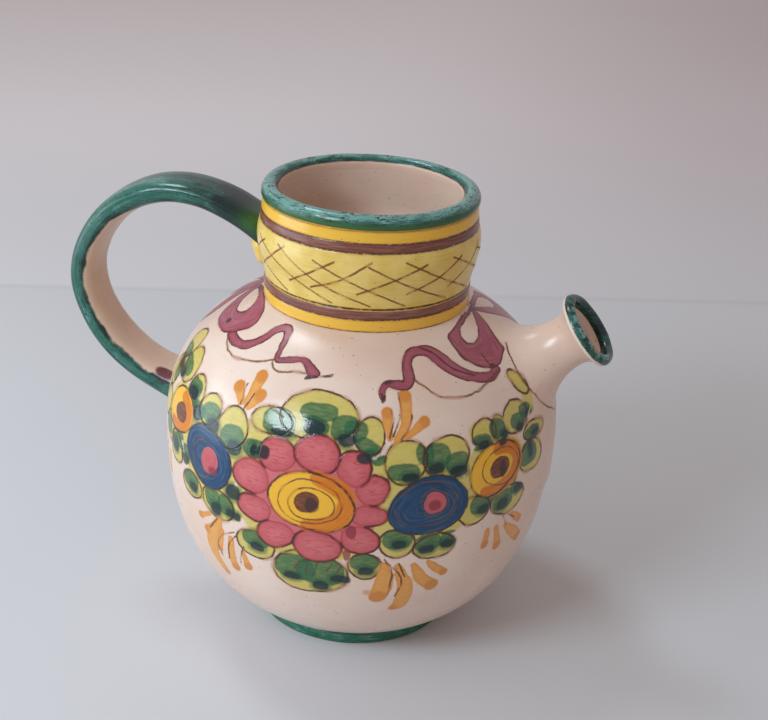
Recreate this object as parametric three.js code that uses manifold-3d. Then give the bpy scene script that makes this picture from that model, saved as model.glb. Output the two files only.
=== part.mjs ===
// A tin-glazed earthenware jug: a thrown belly on a foot, a banded neck with a rolled rim,
// a trumpet spout and a strap handle, each a separate piece of clay luted to the next.
// Millimetres and degrees, +Z up. The jug turns about Z and stands on z = 0.
// The spout points along +X and the handle along -X.

import * as THREE from "three";
import { mergeVertices } from "three/addons/utils/BufferGeometryUtils.js";
import Module from "manifold-3d";

const wasm = await Module();
wasm.setup();

// Foot: a turned disc with a flat underside.
const FOOT_DIAMETER = 82;
const FOOT_HEIGHT = 5.5;
const FOOT_EDGE_ROUND = 1.4;

// Belly: two quarter curves that meet at the widest level. A fullness of 2 is an ellipse,
// and a higher one is squarer.
const BELLY_DIAMETER = 160;
const BELLY_BASE_DIAMETER = 76;
const BELLY_LOWER_HEIGHT = 82;
const BELLY_UPPER_HEIGHT = 53.5;
const BELLY_LOWER_FULLNESS = 2.47;
const BELLY_UPPER_FULLNESS = 2.12;
const BELLY_WALL = 5.5;
const BELLY_FLOOR = 7;

// Neck: bands from the shoulder up. It laps over a low lip round the belly's opening.
// A crest power over 1 puts the bulge's crest above its middle.
const NECK_BASE_DIAMETER = 82.4;
const NECK_TOP_DIAMETER = 84.6;
const NECK_WALL = 5.8;
const LOWER_YELLOW_BAND = 5.2;
const LOWER_BROWN_BAND = 3.3;
const GROOVE_WIDTH = 1;
const GROOVE_DEPTH = 0.9;
const BULGE_HEIGHT = 22.7;
const BULGE_PROUD = 1.7;
const BULGE_CREST_POWER = 1.6;
const UPPER_BROWN_BAND = 4;
const UPPER_YELLOW_BAND = 4.8;
const LAP_HEIGHT = 2.5;
const LAP_WALL = 2.6;

// Rim: a rolled coil on the neck's top edge.
const RIM_ROLL_HEIGHT = 5.2;
const RIM_OVERHANG = 0.8;
const RIM_TUCK = 25;

// Spout: a trumpet square to the shoulder, with a bore through the belly's wall.
const SPOUT_ELEVATION = 38.9;
const SPOUT_ROOT_RISE = 33.8;
const SPOUT_LENGTH = 26;
const SPOUT_WAIST_DIAMETER = 20.9;
const SPOUT_WAIST_DISTANCE = 18.4;
const SPOUT_ROOT_FILLET = 26;
const SPOUT_ROOT_SWEEP = 50;
const SPOUT_ROOT_SKIRT = 24;
const SPOUT_MOUTH_FLARE = 9.2;
const SPOUT_WALL = 3.3;

// Spout lip: a thin coil on the trumpet's end.
const SPOUT_LIP_HEIGHT = 4;
const SPOUT_LIP_PROUD = 1.2;

// Handle: a pulled strap. Its centreline runs up from the neck, out to its farthest point
// beyond the belly, and back in to the belly. An arm is how far the curve holds a direction,
// and a sink is how far inside the wall it starts or ends.
const HANDLE_TOP_RISE = 21.5;
const HANDLE_TOP_SLOPE = 35;
const HANDLE_TOP_ARM = 57;
const HANDLE_TOP_SINK = 3.1;
const HANDLE_GRIP_GAP = 40.8;
const HANDLE_GRIP_RISE = 47;
const HANDLE_GRIP_ARM_UP = 23;
const HANDLE_GRIP_ARM_DOWN = 17.4;
const HANDLE_ROOT_RISE = 2.6;
const HANDLE_ROOT_SLOPE = 10;
const HANDLE_ROOT_ARM = 26.5;
const HANDLE_ROOT_SINK = 3.2;
const HANDLE_TOP_WIDTH = 24;
const HANDLE_ROOT_WIDTH = 22;
const HANDLE_TOP_THICKNESS = 9.3;
const HANDLE_ROOT_THICKNESS = 12.6;
const HANDLE_SQUARENESS = 2.6;
const HANDLE_END_SWELL = 0.22;
const HANDLE_END_SWELL_LENGTH = 6;

// Wad: a lump of clay pressed under the handle's upper joint.
const WAD_WIDTH = 20;
const WAD_HEIGHT = 15;
const WAD_PROUD = 6;
const WAD_DROP = 9;

// A luted seam is a slip layer this thick.
const SEAM = 0.3;

// Corners closer than this are one corner.
const WELD = 1e-4;

// Facets: how many steps a full turn or a curve is drawn with.
const TURN_STEPS = 56;
const SPOUT_STEPS = 36;
const BELLY_CURVE_STEPS = 8;
const BELLY_INSIDE_STEPS = 5;
const BULGE_STEPS = 7;
const ROLL_STEPS = 10;
const FILLET_STEPS = 6;
const HANDLE_STEPS = 26;
const HANDLE_SIDES = 20;
const WAD_STEPS = 12;

// Finish: copper green, tin white, ochre and pale yellow glazes, all glossy.
const WHITE_GLAZE = 0xe2d2ca;
const GREEN_GLAZE = 0x2f7a62;
const OCHRE_GLAZE = 0xe6b850;
const PALE_YELLOW_GLAZE = 0xdecb72;
const GLAZE_ROUGHNESS = 0.22;

// Levels up the jug's axis.
const footTop = FOOT_HEIGHT;
const widestLevel = footTop + BELLY_LOWER_HEIGHT;
const neckSeat = widestLevel + BELLY_UPPER_HEIGHT;
const grooveLevel = neckSeat + LOWER_YELLOW_BAND + LOWER_BROWN_BAND;
const bulgeLevel = grooveLevel + GROOVE_WIDTH;
const bulgeTop = bulgeLevel + BULGE_HEIGHT;
const rimSeat = bulgeTop + UPPER_BROWN_BAND + UPPER_YELLOW_BAND;

// Radii shared by neighbours.
const bellyRadius = BELLY_DIAMETER / 2;
const neckBaseRadius = NECK_BASE_DIAMETER / 2;
const neckTopRadius = NECK_TOP_DIAMETER / 2;
const openingRadius = neckBaseRadius - NECK_WALL;
const waistRadius = SPOUT_WAIST_DIAMETER / 2;
const boreRadius = waistRadius - SPOUT_WALL;

const radians = THREE.MathUtils.degToRad;
const lerp = THREE.MathUtils.lerp;
const point = (r, z) => new THREE.Vector2(r, z);

// A closed solid of revolution about Z. The outline runs up its outer side.
function turned(outline, steps = TURN_STEPS) {
  const geometry = new THREE.LatheGeometry(outline, steps);
  geometry.rotateX(Math.PI / 2);
  return welded(geometry);
}

// The same surface with shared corners merged and the slivers at the axis dropped.
function welded(geometry) {
  geometry.deleteAttribute("normal");
  geometry.deleteAttribute("uv");
  const merged = mergeVertices(geometry, WELD);
  const corners = merged.index.array;
  const kept = [];
  for (let i = 0; i < corners.length; i += 3) {
    const [a, b, c] = [corners[i], corners[i + 1], corners[i + 2]];
    if (a !== b && b !== c && c !== a) kept.push(a, b, c);
  }
  merged.setIndex(kept);
  return merged;
}

function solid(geometry) {
  return new wasm.Manifold(
    new wasm.Mesh({
      numProp: 3,
      vertProperties: new Float32Array(geometry.attributes.position.array),
      triVerts: new Uint32Array(geometry.index.array),
    }),
  );
}

function surface(body) {
  const mesh = body.getMesh();
  const geometry = new THREE.BufferGeometry();
  geometry.setAttribute("position", new THREE.BufferAttribute(mesh.vertProperties, 3));
  geometry.setIndex(new THREE.BufferAttribute(mesh.triVerts, 1));
  return geometry;
}

// One quarter of the belly's outline, from its widest level to where it reaches endRadius,
// pushed out along its normal by offset. The direction is 1 upwards and -1 downwards.
function bellyQuarter(endRadius, height, fullness, direction, offset, steps) {
  const endAngle = Math.acos((endRadius / bellyRadius) ** (fullness / 2));
  const depth = height / Math.sin(endAngle) ** (2 / fullness);
  const points = [];
  for (let i = 0; i <= steps; i += 1) {
    const angle = (endAngle * i) / steps;
    const across = Math.cos(angle);
    const along = Math.sin(angle);
    const normal = point(
      across ** (2 - 2 / fullness) / bellyRadius,
      (direction * along ** (2 - 2 / fullness)) / depth,
    ).normalize();
    points.push(
      point(
        bellyRadius * across ** (2 / fullness) + offset * normal.x,
        widestLevel + direction * depth * along ** (2 / fullness) + offset * normal.y,
      ),
    );
  }
  return points;
}

// The belly's whole outline from the foot up to the neck.
function bellyCurve(offset, steps = BELLY_CURVE_STEPS) {
  const lower = bellyQuarter(
    BELLY_BASE_DIAMETER / 2, BELLY_LOWER_HEIGHT, BELLY_LOWER_FULLNESS, -1, offset, steps,
  );
  const upper = bellyQuarter(
    neckBaseRadius, BELLY_UPPER_HEIGHT, BELLY_UPPER_FULLNESS, 1, offset, steps,
  );
  return [...lower.reverse(), ...upper.slice(1)];
}

// The radius of a curve at a level, read between its points.
function radiusAt(curve, level) {
  for (let i = 1; i < curve.length; i += 1) {
    const [below, above] = [curve[i - 1], curve[i]];
    if (below.y <= level && level <= above.y) {
      return lerp(below.x, above.x, (level - below.y) / (above.y - below.y));
    }
  }
  return curve[level < curve[0].y ? 0 : curve.length - 1].x;
}

// The level at which the upper part of a curve narrows to a radius.
function levelAt(curve, radius) {
  for (let i = curve.length - 1; i > 0; i -= 1) {
    const [below, above] = [curve[i - 1], curve[i]];
    if (above.x <= radius && radius <= below.x) {
      return lerp(below.y, above.y, (below.x - radius) / (below.x - above.x));
    }
  }
  return curve[curve.length - 1].y;
}

// Foot

function footDisc() {
  const radius = FOOT_DIAMETER / 2;
  const round = FOOT_EDGE_ROUND;
  const nip = round * (1 - Math.SQRT1_2);
  return turned([
    point(0, 0),
    point(radius - round, 0),
    point(radius - nip, nip),
    point(radius, round),
    point(radius, footTop - round),
    point(radius - round, footTop),
    point(0, footTop),
  ]);
}

// Belly: the wall, the floor, the lip that locates the neck, and the hole for the spout.

function belly(spoutFrame) {
  const outer = bellyCurve(0);
  const inner = bellyCurve(-BELLY_WALL, BELLY_INSIDE_STEPS);
  const floorLevel = footTop + BELLY_FLOOR;
  const openingLevel = levelAt(inner, openingRadius);
  const wall = inner.filter((p) => p.y > floorLevel && (p.y < widestLevel || p.x > openingRadius));
  const shell = turned([
    point(0, footTop),
    ...outer,
    point(openingRadius + LAP_WALL, neckSeat),
    point(openingRadius + LAP_WALL, neckSeat + LAP_HEIGHT),
    point(openingRadius, neckSeat + LAP_HEIGHT),
    point(openingRadius, openingLevel),
    ...wall.reverse(),
    point(radiusAt(inner, floorLevel), floorLevel),
    point(0, floorLevel),
  ]);
  const reach = BELLY_WALL + SPOUT_WAIST_DIAMETER;
  const drill = turned(
    [point(0, -reach), point(boreRadius, -reach), point(boreRadius, reach), point(0, reach)],
    SPOUT_STEPS,
  );
  drill.applyMatrix4(spoutFrame);
  return surface(solid(shell).subtract(solid(drill)));
}

// Neck: one outline serves the wall and, pushed out by a seam, the cut for what joins it.

function neckOutside(offset) {
  const points = [
    point(neckBaseRadius, neckSeat),
    point(neckBaseRadius, grooveLevel),
    point(neckBaseRadius - GROOVE_DEPTH, grooveLevel + GROOVE_WIDTH / 2),
  ];
  const bandRadius = neckTopRadius + RIM_OVERHANG;
  for (let i = 0; i <= BULGE_STEPS; i += 1) {
    const t = i / BULGE_STEPS;
    const swell = BULGE_PROUD * Math.sin(Math.PI * t ** BULGE_CREST_POWER);
    points.push(point(lerp(neckBaseRadius, bandRadius, t) + swell, bulgeLevel + BULGE_HEIGHT * t));
  }
  points.push(point(neckTopRadius, rimSeat));
  return points.map((p) => point(p.x + offset, p.y));
}

function neckCollar() {
  const outside = neckOutside(0);
  const rebateRadius = openingRadius + LAP_WALL + SEAM;
  const rebateLevel = neckSeat + LAP_HEIGHT + SEAM;
  const insideLevels = [rimSeat, bulgeTop, (bulgeLevel + bulgeTop) / 2, bulgeLevel];
  const inside = insideLevels.map((z) => point(radiusAt(outside, z) - NECK_WALL, z));
  return turned([
    point(rebateRadius, neckSeat),
    ...outside,
    ...inside,
    point(openingRadius, rebateLevel),
    point(rebateRadius, rebateLevel),
    point(rebateRadius, neckSeat),
  ]);
}

// A rolled coil: a flat seat with a round top, tucked in at both lower edges.

function roll(innerRadius, outerRadius, seat, height, tuck) {
  const middle = (innerRadius + outerRadius) / 2;
  const halfWidth = (outerRadius - innerRadius) / 2;
  const rise = height / (1 + Math.sin(tuck));
  const centre = seat + rise * Math.sin(tuck);
  const points = [];
  for (let i = 0; i <= ROLL_STEPS; i += 1) {
    const angle = lerp(-tuck, Math.PI + tuck, i / ROLL_STEPS);
    points.push(point(middle + halfWidth * Math.cos(angle), centre + rise * Math.sin(angle)));
  }
  points[0].y = seat;
  points[ROLL_STEPS].y = seat;
  return [...points, points[0].clone()];
}

function rimRoll() {
  const outerRadius = neckTopRadius + RIM_OVERHANG;
  const innerRadius = neckTopRadius - NECK_WALL - RIM_OVERHANG / 2;
  return turned(roll(innerRadius, outerRadius, rimSeat, RIM_ROLL_HEIGHT, radians(RIM_TUCK)));
}

// Spout: turned about its own axis from where that axis leaves the belly, then saddled.

function spoutPlace() {
  const rootLevel = widestLevel + SPOUT_ROOT_RISE;
  const rootRadius = radiusAt(bellyCurve(0), rootLevel);
  const frame = new THREE.Matrix4().makeRotationY(Math.PI / 2 - radians(SPOUT_ELEVATION));
  return frame.setPosition(rootRadius, 0, rootLevel);
}

// The trumpet's outer side: a straight skirt that runs into the belly, a hollow fillet up to
// the waist, and the flare out to the mouth.
function trumpetOutside() {
  const points = [];
  for (let i = 0; i <= FILLET_STEPS; i += 1) {
    const angle = radians(SPOUT_ROOT_SWEEP) * (1 - i / FILLET_STEPS);
    const out = SPOUT_ROOT_FILLET * (1 - Math.cos(angle));
    points.push(point(waistRadius + out, SPOUT_WAIST_DISTANCE - SPOUT_ROOT_FILLET * Math.sin(angle)));
  }
  const skirtTop = points[0];
  const skirtOut = SPOUT_ROOT_SKIRT * Math.sin(radians(SPOUT_ROOT_SWEEP));
  const skirtDown = SPOUT_ROOT_SKIRT * Math.cos(radians(SPOUT_ROOT_SWEEP));
  points.unshift(point(skirtTop.x + skirtOut, skirtTop.y - skirtDown));
  const flareLength = SPOUT_LENGTH - SPOUT_WAIST_DISTANCE;
  const flareSweep = Math.asin(flareLength / SPOUT_MOUTH_FLARE);
  for (let i = 1; i <= FILLET_STEPS; i += 1) {
    const angle = (flareSweep * i) / FILLET_STEPS;
    const out = SPOUT_MOUTH_FLARE * (1 - Math.cos(angle));
    points.push(point(waistRadius + out, SPOUT_WAIST_DISTANCE + SPOUT_MOUTH_FLARE * Math.sin(angle)));
  }
  return points;
}

function spout(spoutFrame) {
  const outside = trumpetOutside();
  const flare = outside.slice(FILLET_STEPS + 1);
  const inside = flare.map((p) => point(p.x - SPOUT_WALL, p.y)).reverse();
  const bottom = outside[0].y;
  const trumpet = turned(
    [...outside, ...inside, point(boreRadius, bottom), outside[0].clone()],
    SPOUT_STEPS,
  );
  trumpet.applyMatrix4(spoutFrame);
  return surface(solid(trumpet).subtract(solid(fullBody(bellyCurve(SEAM)))));
}

function spoutLip(spoutFrame) {
  const mouth = trumpetOutside().pop();
  const outline = roll(
    mouth.x - SPOUT_WALL,
    mouth.x + SPOUT_LIP_PROUD,
    SPOUT_LENGTH + SEAM,
    SPOUT_LIP_HEIGHT,
    radians(RIM_TUCK),
  );
  return turned(outline, SPOUT_STEPS).applyMatrix4(spoutFrame);
}

// A curve's solid, filled in to the axis, for cutting what seats on that curve.
function fullBody(curve) {
  return turned([point(0, curve[0].y), ...curve, point(0, curve[curve.length - 1].y)]);
}

// Handle: a loft of rounded sections along its centreline in the XZ plane.

function handlePath() {
  const topLevel = neckSeat + HANDLE_TOP_RISE;
  const rootLevel = widestLevel + HANDLE_ROOT_RISE;
  const gripReach = bellyRadius + HANDLE_GRIP_GAP;
  const gripLevel = widestLevel + HANDLE_GRIP_RISE;
  const place = (reach, level) => new THREE.Vector3(-reach, 0, level);
  const aim = (from, slope, length) =>
    from.clone().add(place(length * Math.cos(slope), length * Math.sin(slope)));
  const top = place(radiusAt(neckOutside(0), topLevel) - HANDLE_TOP_SINK, topLevel);
  const root = place(radiusAt(bellyCurve(0), rootLevel) - HANDLE_ROOT_SINK, rootLevel);
  const grip = place(gripReach, gripLevel);
  const topSlope = radians(HANDLE_TOP_SLOPE);
  const rootSlope = radians(HANDLE_ROOT_SLOPE);
  const path = new THREE.CurvePath();
  path.add(new THREE.LineCurve3(aim(top, topSlope, -HANDLE_TOP_THICKNESS), top));
  path.add(
    new THREE.CubicBezierCurve3(
      top,
      aim(top, topSlope, HANDLE_TOP_ARM),
      place(gripReach, gripLevel + HANDLE_GRIP_ARM_UP),
      grip,
    ),
  );
  path.add(
    new THREE.CubicBezierCurve3(
      grip,
      place(gripReach, gripLevel - HANDLE_GRIP_ARM_DOWN),
      aim(root, rootSlope, HANDLE_ROOT_ARM),
      root,
    ),
  );
  path.add(new THREE.LineCurve3(root, aim(root, rootSlope, -HANDLE_ROOT_THICKNESS)));
  return path;
}

function handleLoft(margin) {
  const path = handlePath();
  const length = path.getLength();
  const positions = [];
  const corners = [];
  for (let i = 0; i <= HANDLE_STEPS; i += 1) {
    const t = i / HANDLE_STEPS;
    const centre = path.getPointAt(t);
    const tangent = path.getTangentAt(t);
    const normal = new THREE.Vector3(-tangent.z, 0, tangent.x);
    const fromEnd = Math.max(0, Math.min(t, 1 - t) * length - HANDLE_ROOT_THICKNESS);
    const swell = 1 + HANDLE_END_SWELL * Math.exp(-fromEnd / HANDLE_END_SWELL_LENGTH);
    const halfWidth = (lerp(HANDLE_TOP_WIDTH, HANDLE_ROOT_WIDTH, t) / 2) * swell + margin;
    const thickness = lerp(HANDLE_TOP_THICKNESS, HANDLE_ROOT_THICKNESS, t);
    const halfThickness = (thickness / 2) * swell + margin;
    for (let k = 0; k < HANDLE_SIDES; k += 1) {
      const angle = (2 * Math.PI * k) / HANDLE_SIDES;
      const across = roundedStep(Math.cos(angle)) * halfWidth;
      const through = roundedStep(Math.sin(angle)) * halfThickness;
      const corner = centre.clone().addScaledVector(normal, through);
      positions.push(corner.x, across, corner.z);
    }
  }
  for (let i = 0; i < HANDLE_STEPS; i += 1) {
    for (let k = 0; k < HANDLE_SIDES; k += 1) {
      const next = (k + 1) % HANDLE_SIDES;
      const [a, b] = [i * HANDLE_SIDES + k, i * HANDLE_SIDES + next];
      corners.push(a, b, b + HANDLE_SIDES);
      corners.push(a, b + HANDLE_SIDES, a + HANDLE_SIDES);
    }
  }
  const last = HANDLE_STEPS * HANDLE_SIDES;
  for (let k = 1; k < HANDLE_SIDES - 1; k += 1) {
    corners.push(0, k + 1, k);
    corners.push(last, last + k, last + k + 1);
  }
  const geometry = new THREE.BufferGeometry();
  geometry.setAttribute("position", new THREE.Float32BufferAttribute(positions, 3));
  geometry.setIndex(corners);
  return geometry;
}

// A rounded rectangle's side follows this power of a circle's.
function roundedStep(value) {
  return Math.sign(value) * Math.abs(value) ** (2 / HANDLE_SQUARENESS);
}

function strapHandle() {
  const strap = solid(handleLoft(0));
  const neck = solid(fullBody(neckOutside(SEAM)));
  return surface(strap.subtract(neck).subtract(solid(fullBody(bellyCurve(SEAM)))));
}

// Wad: a lump on the neck's wall, cut by the neck behind it and the handle above it.

function handleWad() {
  const level = neckSeat + HANDLE_TOP_RISE - WAD_DROP;
  const lump = new THREE.SphereGeometry(1, WAD_STEPS, WAD_STEPS);
  lump.scale(WAD_PROUD, WAD_WIDTH / 2, WAD_HEIGHT / 2);
  lump.translate(-radiusAt(neckOutside(0), level), 0, level);
  const neck = solid(fullBody(neckOutside(SEAM)));
  return surface(solid(welded(lump)).subtract(neck).subtract(solid(handleLoft(SEAM))));
}

// The jug

const jug = new THREE.Group();

function addPiece(name, geometry, color) {
  geometry.computeVertexNormals();
  const material = new THREE.MeshStandardMaterial({ color, roughness: GLAZE_ROUGHNESS, metalness: 0 });
  const mesh = new THREE.Mesh(geometry, material);
  mesh.name = name;
  jug.add(mesh);
}

const spoutFrame = spoutPlace();
addPiece("foot_disc", footDisc(), GREEN_GLAZE);
addPiece("belly", belly(spoutFrame), WHITE_GLAZE);
addPiece("neck_collar", neckCollar(), OCHRE_GLAZE);
addPiece("rim_roll", rimRoll(), GREEN_GLAZE);
addPiece("spout", spout(spoutFrame), WHITE_GLAZE);
addPiece("spout_lip", spoutLip(spoutFrame), GREEN_GLAZE);
addPiece("strap_handle", strapHandle(), GREEN_GLAZE);
addPiece("handle_wad", handleWad(), PALE_YELLOW_GLAZE);

export default jug;
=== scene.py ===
"""A maiolica jug: its clay pieces, brushed glazes and painted garland, on a pale table.

Lengths in the notes are millimetres unless a name says otherwise. The jug turns about Z.
The spout points along +X and the handle along -X. A bearing is an angle round the jug in degrees,
0 at the middle of the front, on the -Y side, and 90 at the spout.
"""

import math
from collections import namedtuple
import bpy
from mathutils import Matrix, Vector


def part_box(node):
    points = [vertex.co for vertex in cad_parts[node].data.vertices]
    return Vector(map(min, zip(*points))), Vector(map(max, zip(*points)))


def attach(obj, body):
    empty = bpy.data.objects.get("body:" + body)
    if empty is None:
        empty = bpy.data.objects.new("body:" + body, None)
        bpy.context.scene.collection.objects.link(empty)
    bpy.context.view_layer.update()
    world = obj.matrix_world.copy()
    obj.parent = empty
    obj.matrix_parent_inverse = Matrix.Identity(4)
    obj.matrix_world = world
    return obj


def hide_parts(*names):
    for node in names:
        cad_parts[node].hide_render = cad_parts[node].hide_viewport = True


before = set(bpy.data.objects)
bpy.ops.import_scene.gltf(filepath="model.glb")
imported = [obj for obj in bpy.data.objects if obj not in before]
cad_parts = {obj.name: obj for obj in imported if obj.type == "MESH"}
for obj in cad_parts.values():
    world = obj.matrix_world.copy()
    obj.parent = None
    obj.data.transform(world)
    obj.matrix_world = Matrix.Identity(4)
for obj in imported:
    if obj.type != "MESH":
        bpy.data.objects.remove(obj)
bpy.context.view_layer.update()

from types import SimpleNamespace

import bpy
import numpy as np
from mathutils import Matrix, Vector

bl_info = {
    "name": "Maiolica Jug",
    "version": (1, 0, 0),
    "blender": (4, 5, 0),
    "location": "3D View > Sidebar > Jug",
    "description": "Builds a painted earthenware jug around its packed frame",
    "category": "Add Mesh",
}

MM = 0.001
BODY = "root"

# Clay: shapes of the outlines. A fullness of 2 is an ellipse, and a higher one is squarer.
LOWER_FULLNESS = 2.47
UPPER_FULLNESS = 2.12
CREST_POWER = 1.6
RIM_TUCK = math.radians(25)
SPOUT_ELEVATION = math.radians(38.9)
SPOUT_SWEEP = math.radians(50)
HANDLE_TOP_SLOPE = math.radians(35)
HANDLE_ROOT_SLOPE = math.radians(10)
HANDLE_OUTER_FULLNESS = 3.0
HANDLE_INNER_FULLNESS = 2.6
HANDLE_END_SWELL = 0.22
HANDLE_END_SWELL_LENGTH = 6.0
SPOUT_ROOT_SINK = 0.08
# The lump under the handle: its shares of the full lengths along X, Y and Z, how wide it is along X and Y
# at its middle, and how much wider it gets upwards.
WAD_SHARE = (0.95, 0.48, 0.48)
WAD_MIDDLE = (0.78, 0.8)
WAD_GROWTH = (0.36, 0.2)

# How uneven the hand leaves the clay.
FOOT_STRAY = 0.18
NECK_STRAY = 0.12
NECK_STRAY_LENGTH = 9.0
RIM_DIP = 0.18
RIM_PINCH = 0.12
LIP_DIP = 0.35
LIP_DIP_STRAY = 0.2
LIP_PINCH = 0.2
LIP_PINCH_STRAY = 0.1
STRAP_WIDTH_STRAY = 0.25
STRAP_WIDTH_STRAY_LENGTH = 14.0
STRAP_DEPTH_STRAY = 0.15
STRAP_DEPTH_STRAY_LENGTH = 11.0

# Places of the strap's tones along it from its upper end, the painted sheen on its crown among them, and of
# the blot from its lower end.
BARE_START = 52.0
BARE_WIDENING = 30.0
BARE_SHARE = 0.94
SHEEN_PLACE = 62.0
SHEEN_LENGTH = 22.0
DARK_TOP_LENGTH = 32.0
GRASSY_PLACE = 15.0
GRASSY_LENGTH = 5.0
BLOT_PLACE = 19.0
BLOT_REACH = 2.6
# The chip in the spout's lip: its angle round the lip, its size and its place on the coil.
CHIP_TURN = math.radians(-64)
CHIP_REACH = 1.2
CHIP_STRETCH = 2.0
CHIP_SIDE = 0.2

# Fineness of the meshes.
BELLY_COLUMNS = 512
BELLY_ROWS = 150
BELLY_INSIDE_ROWS = 26
NECK_COLUMNS = 720
NECK_ROWS = 104
NECK_INSIDE_ROWS = 16
RIM_COLUMNS = 360
ROLL_STEPS = 36
FOOT_COLUMNS = 320
EDGE_STEPS = 8
SPOUT_COLUMNS = 144
SPOUT_SKIRT_ROWS = 46
SPOUT_FLARE_ROWS = 14
SPOUT_BORE_ROWS = 12
HANDLE_RINGS = 190
HANDLE_SIDES = 64
WAD_SEGMENTS = 64
SPAN_STEPS = 12
QUARTER_STEPS = 600
NECK_STEPS = 800
FILLET_STEPS = 200
COLUMN_STEPS = 400
GAP_STEPS = 700
BEZIER_STEPS = 300
WELD = 1e-6
SHARP_ANGLE = math.radians(40)

# A field holds a distance to something painted, in millimetres, and stops at this value.
FIELD_LIMIT = 6.0
# Points this far under the outside of the belly or the neck belong to the inner wall.
SKIN_DEPTH = 2.5
# Thin paint reaches this far round a dark dot.
DOT_EDGE = 1.4
# Petal outlines fade out about a millimetre nearer to their gold heart than this.
PETAL_LINE_STOP = 6.4
# How far an oval strays from its outline, as shares of its size, twice and three times round.
OVAL_RIPPLES = (0.035, 0.03)
# Painted shade: the ground glaze turns warmer and darker towards the spout's side, between these places along
# X.
SPOUT_SHADE_RUN = (62.0, 82.0)

# The garland. Each oval has its bearing, level, half width, half height and turn in degrees.
LEAVES_BEHIND = (
    (1.7, 119, 14.3, 9.6, 2), (-24.7, 107.5, 7.3, 8.6), (-44.9, 111.6, 6.3, 7.1), (-65.6, 121.5, 6, 7),
    (-50, 86, 7, 6.5), (-27.6, 74.6, 8.8, 6.6), (1.7, 56, 14.3, 10.7), (25.7, 71.7, 7, 6.4),
    (48, 81, 7.6, 6.2), (71.2, 94, 8, 6.8), (73.2, 120.6, 2.8, 6, 20), (66.5, 111.2, 7.6, 6.2, 15),
    (58.5, 110, 4, 5), (39.3, 104.8, 9.6, 8), (-64, 98, 6, 6),
)
LEAVES_BEFORE = (
    (17.3, 113.8, 5.8, 6.8), (-12.3, 114.5, 8.4, 5.4), (-35.2, 110, 6.4, 6.1), (-56, 117, 7.3, 7.5),
    (-39.8, 76, 7.6, 5.4), (-14.4, 63.5, 8.8, 6.5), (17.3, 61.3, 6.3, 6.1), (36.7, 68.7, 9.1, 5.5),
    (61, 80.2, 9.8, 6.3), (73.6, 103.4, 7.4, 3.5), (52.7, 110.2, 6.1, 5), (27.4, 104.8, 8, 8.4),
    (-57, 91, 6, 6), (-66, 110, 6, 7),
)
LEAF_WASH = (
    (2, 87, 30, 27), (-32.4, 92, 17, 15), (34.3, 86.7, 18.5, 15.5), (55.5, 95.7, 15.5, 13),
    (-50.3, 101, 14, 11.5), (50, 110.5, 4, 4), (74.2, 114.2, 2.8, 5.5), (-18.5, 99, 7, 8), (-24, 78, 9, 8),
    (22, 100, 6, 8), (-18.5, 107, 5, 7), (-15, 110, 5, 5), (-33.5, 77, 4.5, 5),
)
DABS_FIRST = (
    (1.7, 119.9, 6.7, 3.2, 3), (13.2, 115.4, 4, 3.5), (18.9, 107, 4, 2.5, -30), (-10, 114.7, 6.5, 4.6),
    (-15.4, 103.5, 5, 3.2), (-23.9, 104.5, 5.8, 4.2), (-34.4, 109, 4.8, 3.5), (-58.2, 116, 6, 3, -15),
    (-51, 87.5, 3.8, 3.5), (-43.4, 87, 3.5, 4.2), (-29.5, 76, 4.2, 4.2), (-14.4, 66, 5.4, 3.5),
    (-2.6, 57.5, 8, 5.8), (17.3, 63.4, 5.3, 3.6), (26, 74, 5.8, 4.4), (40.6, 71, 3.7, 3.4),
    (50.5, 83.2, 4.9, 4.2), (64.8, 84.8, 4.1, 3.8), (69.8, 95.2, 5.6, 4.5), (71.2, 111.5, 3.2, 2.6),
    (51, 107.4, 4.4, 2.6), (36.2, 105.9, 5.2, 4.5), (-64, 110, 4, 4),
)
DABS_SECOND = (
    (1.5, 115.5, 4.5, 3), (9.7, 116, 4.7, 4.4), (17.3, 109.8, 5, 2.6, -35), (-46.4, 112.8, 5.3, 3.4),
    (-40.3, 107, 4.8, 2.8), (-66.4, 117.5, 4.8, 3.4), (-47.5, 90.5, 4.2, 3.2), (-40.3, 77.5, 5.6, 3.6),
    (-24.4, 76, 3.8, 4.2), (5, 57, 9.3, 6.3), (34.5, 71, 5.5, 3.4), (58.8, 81, 5.3, 4.2),
    (72.5, 102.7, 5, 2.2), (67, 109.5, 4.3, 2.6), (57.7, 110.2, 4.1, 3.4), (42.2, 102.3, 4.5, 3.8),
    (26.8, 101.2, 5.7, 3), (32.9, 107.3, 3, 4.2), (-58, 91, 4, 4),
)
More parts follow.
